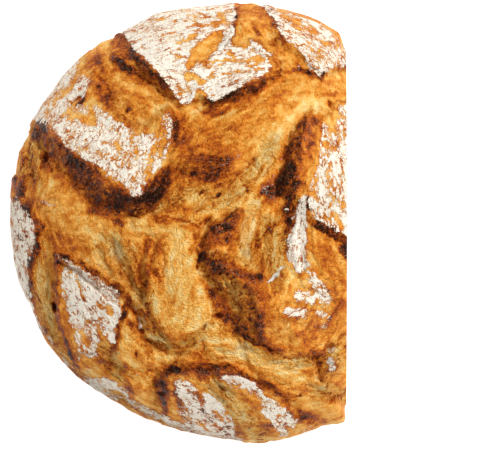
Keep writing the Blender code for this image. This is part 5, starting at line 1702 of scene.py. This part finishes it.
def crust_finish(grain_group, flour_group):
    finish, tree, shader = new_finish("baked and floured crust")
    place = millimetres(tree)
    fibre = kept(tree, "fibre")
    inputs = {
        "Place": place, "Browning": kept(tree, "browning"), "Fibre": fibre,
        "Torn": kept(tree, "torn"),
    }  # fmt: skip
    grain = place_group(tree, grain_group, inputs)
    inputs = {
        "Place": place, "Grain": kept(tree, "grain", "Vector"),
        "Cover": kept(tree, "cover"), "Haze": kept(tree, "haze"), "Fibre": fibre,
    }  # fmt: skip
    flour = place_group(tree, flour_group, inputs)
    colour = blend_colours(tree, flour["Mask"], grain["Colour"], flour["Tone"])
    # Painted shade: creases and hollows are darkened toward the shade tint.
    shade = times(tree, kept(tree, "painted_shade"), 0.72)
    colour = blend_colours(tree, shade, colour, PAINTED_SHADE_TINT, "MULTIPLY")
    height = total(tree, grain["Height"], flour["Height"])
    rough = total(tree, grain["Roughness"], times(tree, flour["Mask"], 0.3))
    feed(tree, shader, {
        "Base Color": colour, "Roughness": rough, "Normal": press(tree, height, 1.0),
        "Specular IOR Level": 0.1, "Coat Weight": grain["Glint"], "Coat Roughness": 0.2,
    })  # fmt: skip
    return finish


def crumb_finish(grain_group):
    finish, tree, shader = new_finish("open crumb")
    place = millimetres(tree)
    hollow = kept(tree, "hollow")
    cloud = noise_at(tree, place, 9.0, 4.0, 0.6)
    mottle = noise_at(tree, place, 1.8, 4.0, 0.65)
    tone = total(tree, 0.5, weigh(tree, cloud, 1.4), weigh(tree, mottle, 1.5))
    tone = colour_ramp(tree, tone, CRUMB_RAMP)
    # Painted shade: the crumb darkens with the depth of its holes.
    tone = blend_colours(tree, soft_step(tree, hollow, 0.35, 2.6), tone, HOLE_SHADE_TONE)
    tone = blend_colours(tree, soft_step(tree, hollow, 2.2, 5.0), tone, DEEP_HOLE_SHADE)
    inputs = {"Place": place, "Browning": kept(tree, "browning"), "Fibre": 0.0, "Torn": 0.0}
    grain = place_group(tree, grain_group, inputs)
    edge = total(tree, kept(tree, "edge"), weigh(tree, mottle, 0.9))
    colour = blend_colours(tree, soft_step(tree, edge, 0.05, 0.95), tone, grain["Colour"])
    height = total(tree, weigh(tree, mottle, 0.9), weigh(tree, grain["Height"], 0.2, 0.0))
    rough = total(tree, 0.78, weigh(tree, mottle, 0.4))
    feed(tree, shader, {
        "Base Color": colour, "Roughness": rough, "Normal": press(tree, height, 0.5),
        "Specular IOR Level": 0.25,
    })  # fmt: skip
    return finish


# Camera and floor, in metres, and the floor's look.
CAMERA_HEIGHT = 6.0
SENSOR_WIDTH = 36.0
VIEW_WIDTH = 0.275
VIEW_OFFSET = (0.011, -0.0033)
FLOOR_REACH = 4.0
FLOOR_TONE = (0.92, 0.92, 0.92, 1.0)
FLOOR_GLOW = 0.75
WHITE = (1.0, 1.0, 1.0, 1.0)

# Light: each softbox by its bearing, elevation, distance, size and power; and the sky.
SOFTBOXES = (("softbox", 38.0, 58.0, 3.0, 0.62, 98.0), ("fill", 240.0, 48.0, 3.0, 1.8, 16.0))
SKY_STRENGTH = 0.32


def set_camera(middle):
    """Looks straight down on the round, a little to the right of and below its middle."""
    data = bpy.data.cameras.new("camera")
    data.sensor_width = SENSOR_WIDTH
    data.lens = SENSOR_WIDTH * (CAMERA_HEIGHT - WIDE_HEIGHT * MM) / VIEW_WIDTH
    camera = add_object("camera", data)
    camera.location = (*(middle[:2] * MM + VIEW_OFFSET), CAMERA_HEIGHT)
    bpy.context.scene.camera = camera


def add_softbox(name, middle, bearing, elevation, distance, size, power):
    data = bpy.data.lights.new(name, "AREA")
    data.shape = "SQUARE"
    data.size = size
    data.energy = power
    light = add_object(name, data)
    bearing = math.radians(bearing)
    rise = math.radians(elevation)
    level = math.cos(rise)
    toward = (level * math.cos(bearing), level * math.sin(bearing), math.sin(rise))
    light.location = middle * MM + distance * np.array(toward)
    light.rotation_euler = (math.pi / 2 - rise, 0.0, math.pi / 2 + bearing)


def set_light(middle):
    for name, *values in SOFTBOXES:
        add_softbox(name, middle, *values)
    world = bpy.data.worlds.new("studio")
    world.use_nodes = True
    sky = world.node_tree.nodes["Background"]
    sky.inputs["Color"].default_value = WHITE
    sky.inputs["Strength"].default_value = SKY_STRENGTH
    bpy.context.scene.world = world
    bpy.context.scene.view_settings.view_transform = "Standard"


def set_floor():
    mesh = bmesh.new()
    bmesh.ops.create_grid(mesh, x_segments=1, y_segments=1, size=FLOOR_REACH)
    floor = mesh_piece("floor", mesh)
    finish, tree, shader = new_finish("pale floor")
    feed(tree, shader, {
        "Base Color": FLOOR_TONE, "Roughness": 0.9, "Specular IOR Level": 0.0,
        "Emission Color": WHITE, "Emission Strength": FLOOR_GLOW,
    })  # fmt: skip
    floor.data.materials.append(finish)


def dress(piece, finish):
    piece.data.materials.append(finish)
    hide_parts("loaf")
    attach(piece, "root")


crust, middle = make_crust()
crumb, rind = make_crumb(crust, middle)
paint_crumb(crumb, middle, rind)
grain_group = make_grain_group()
dress(crust, crust_finish(grain_group, make_flour_group()))
dress(crumb, crumb_finish(grain_group))
set_camera(middle)
set_light(middle)
set_floor()
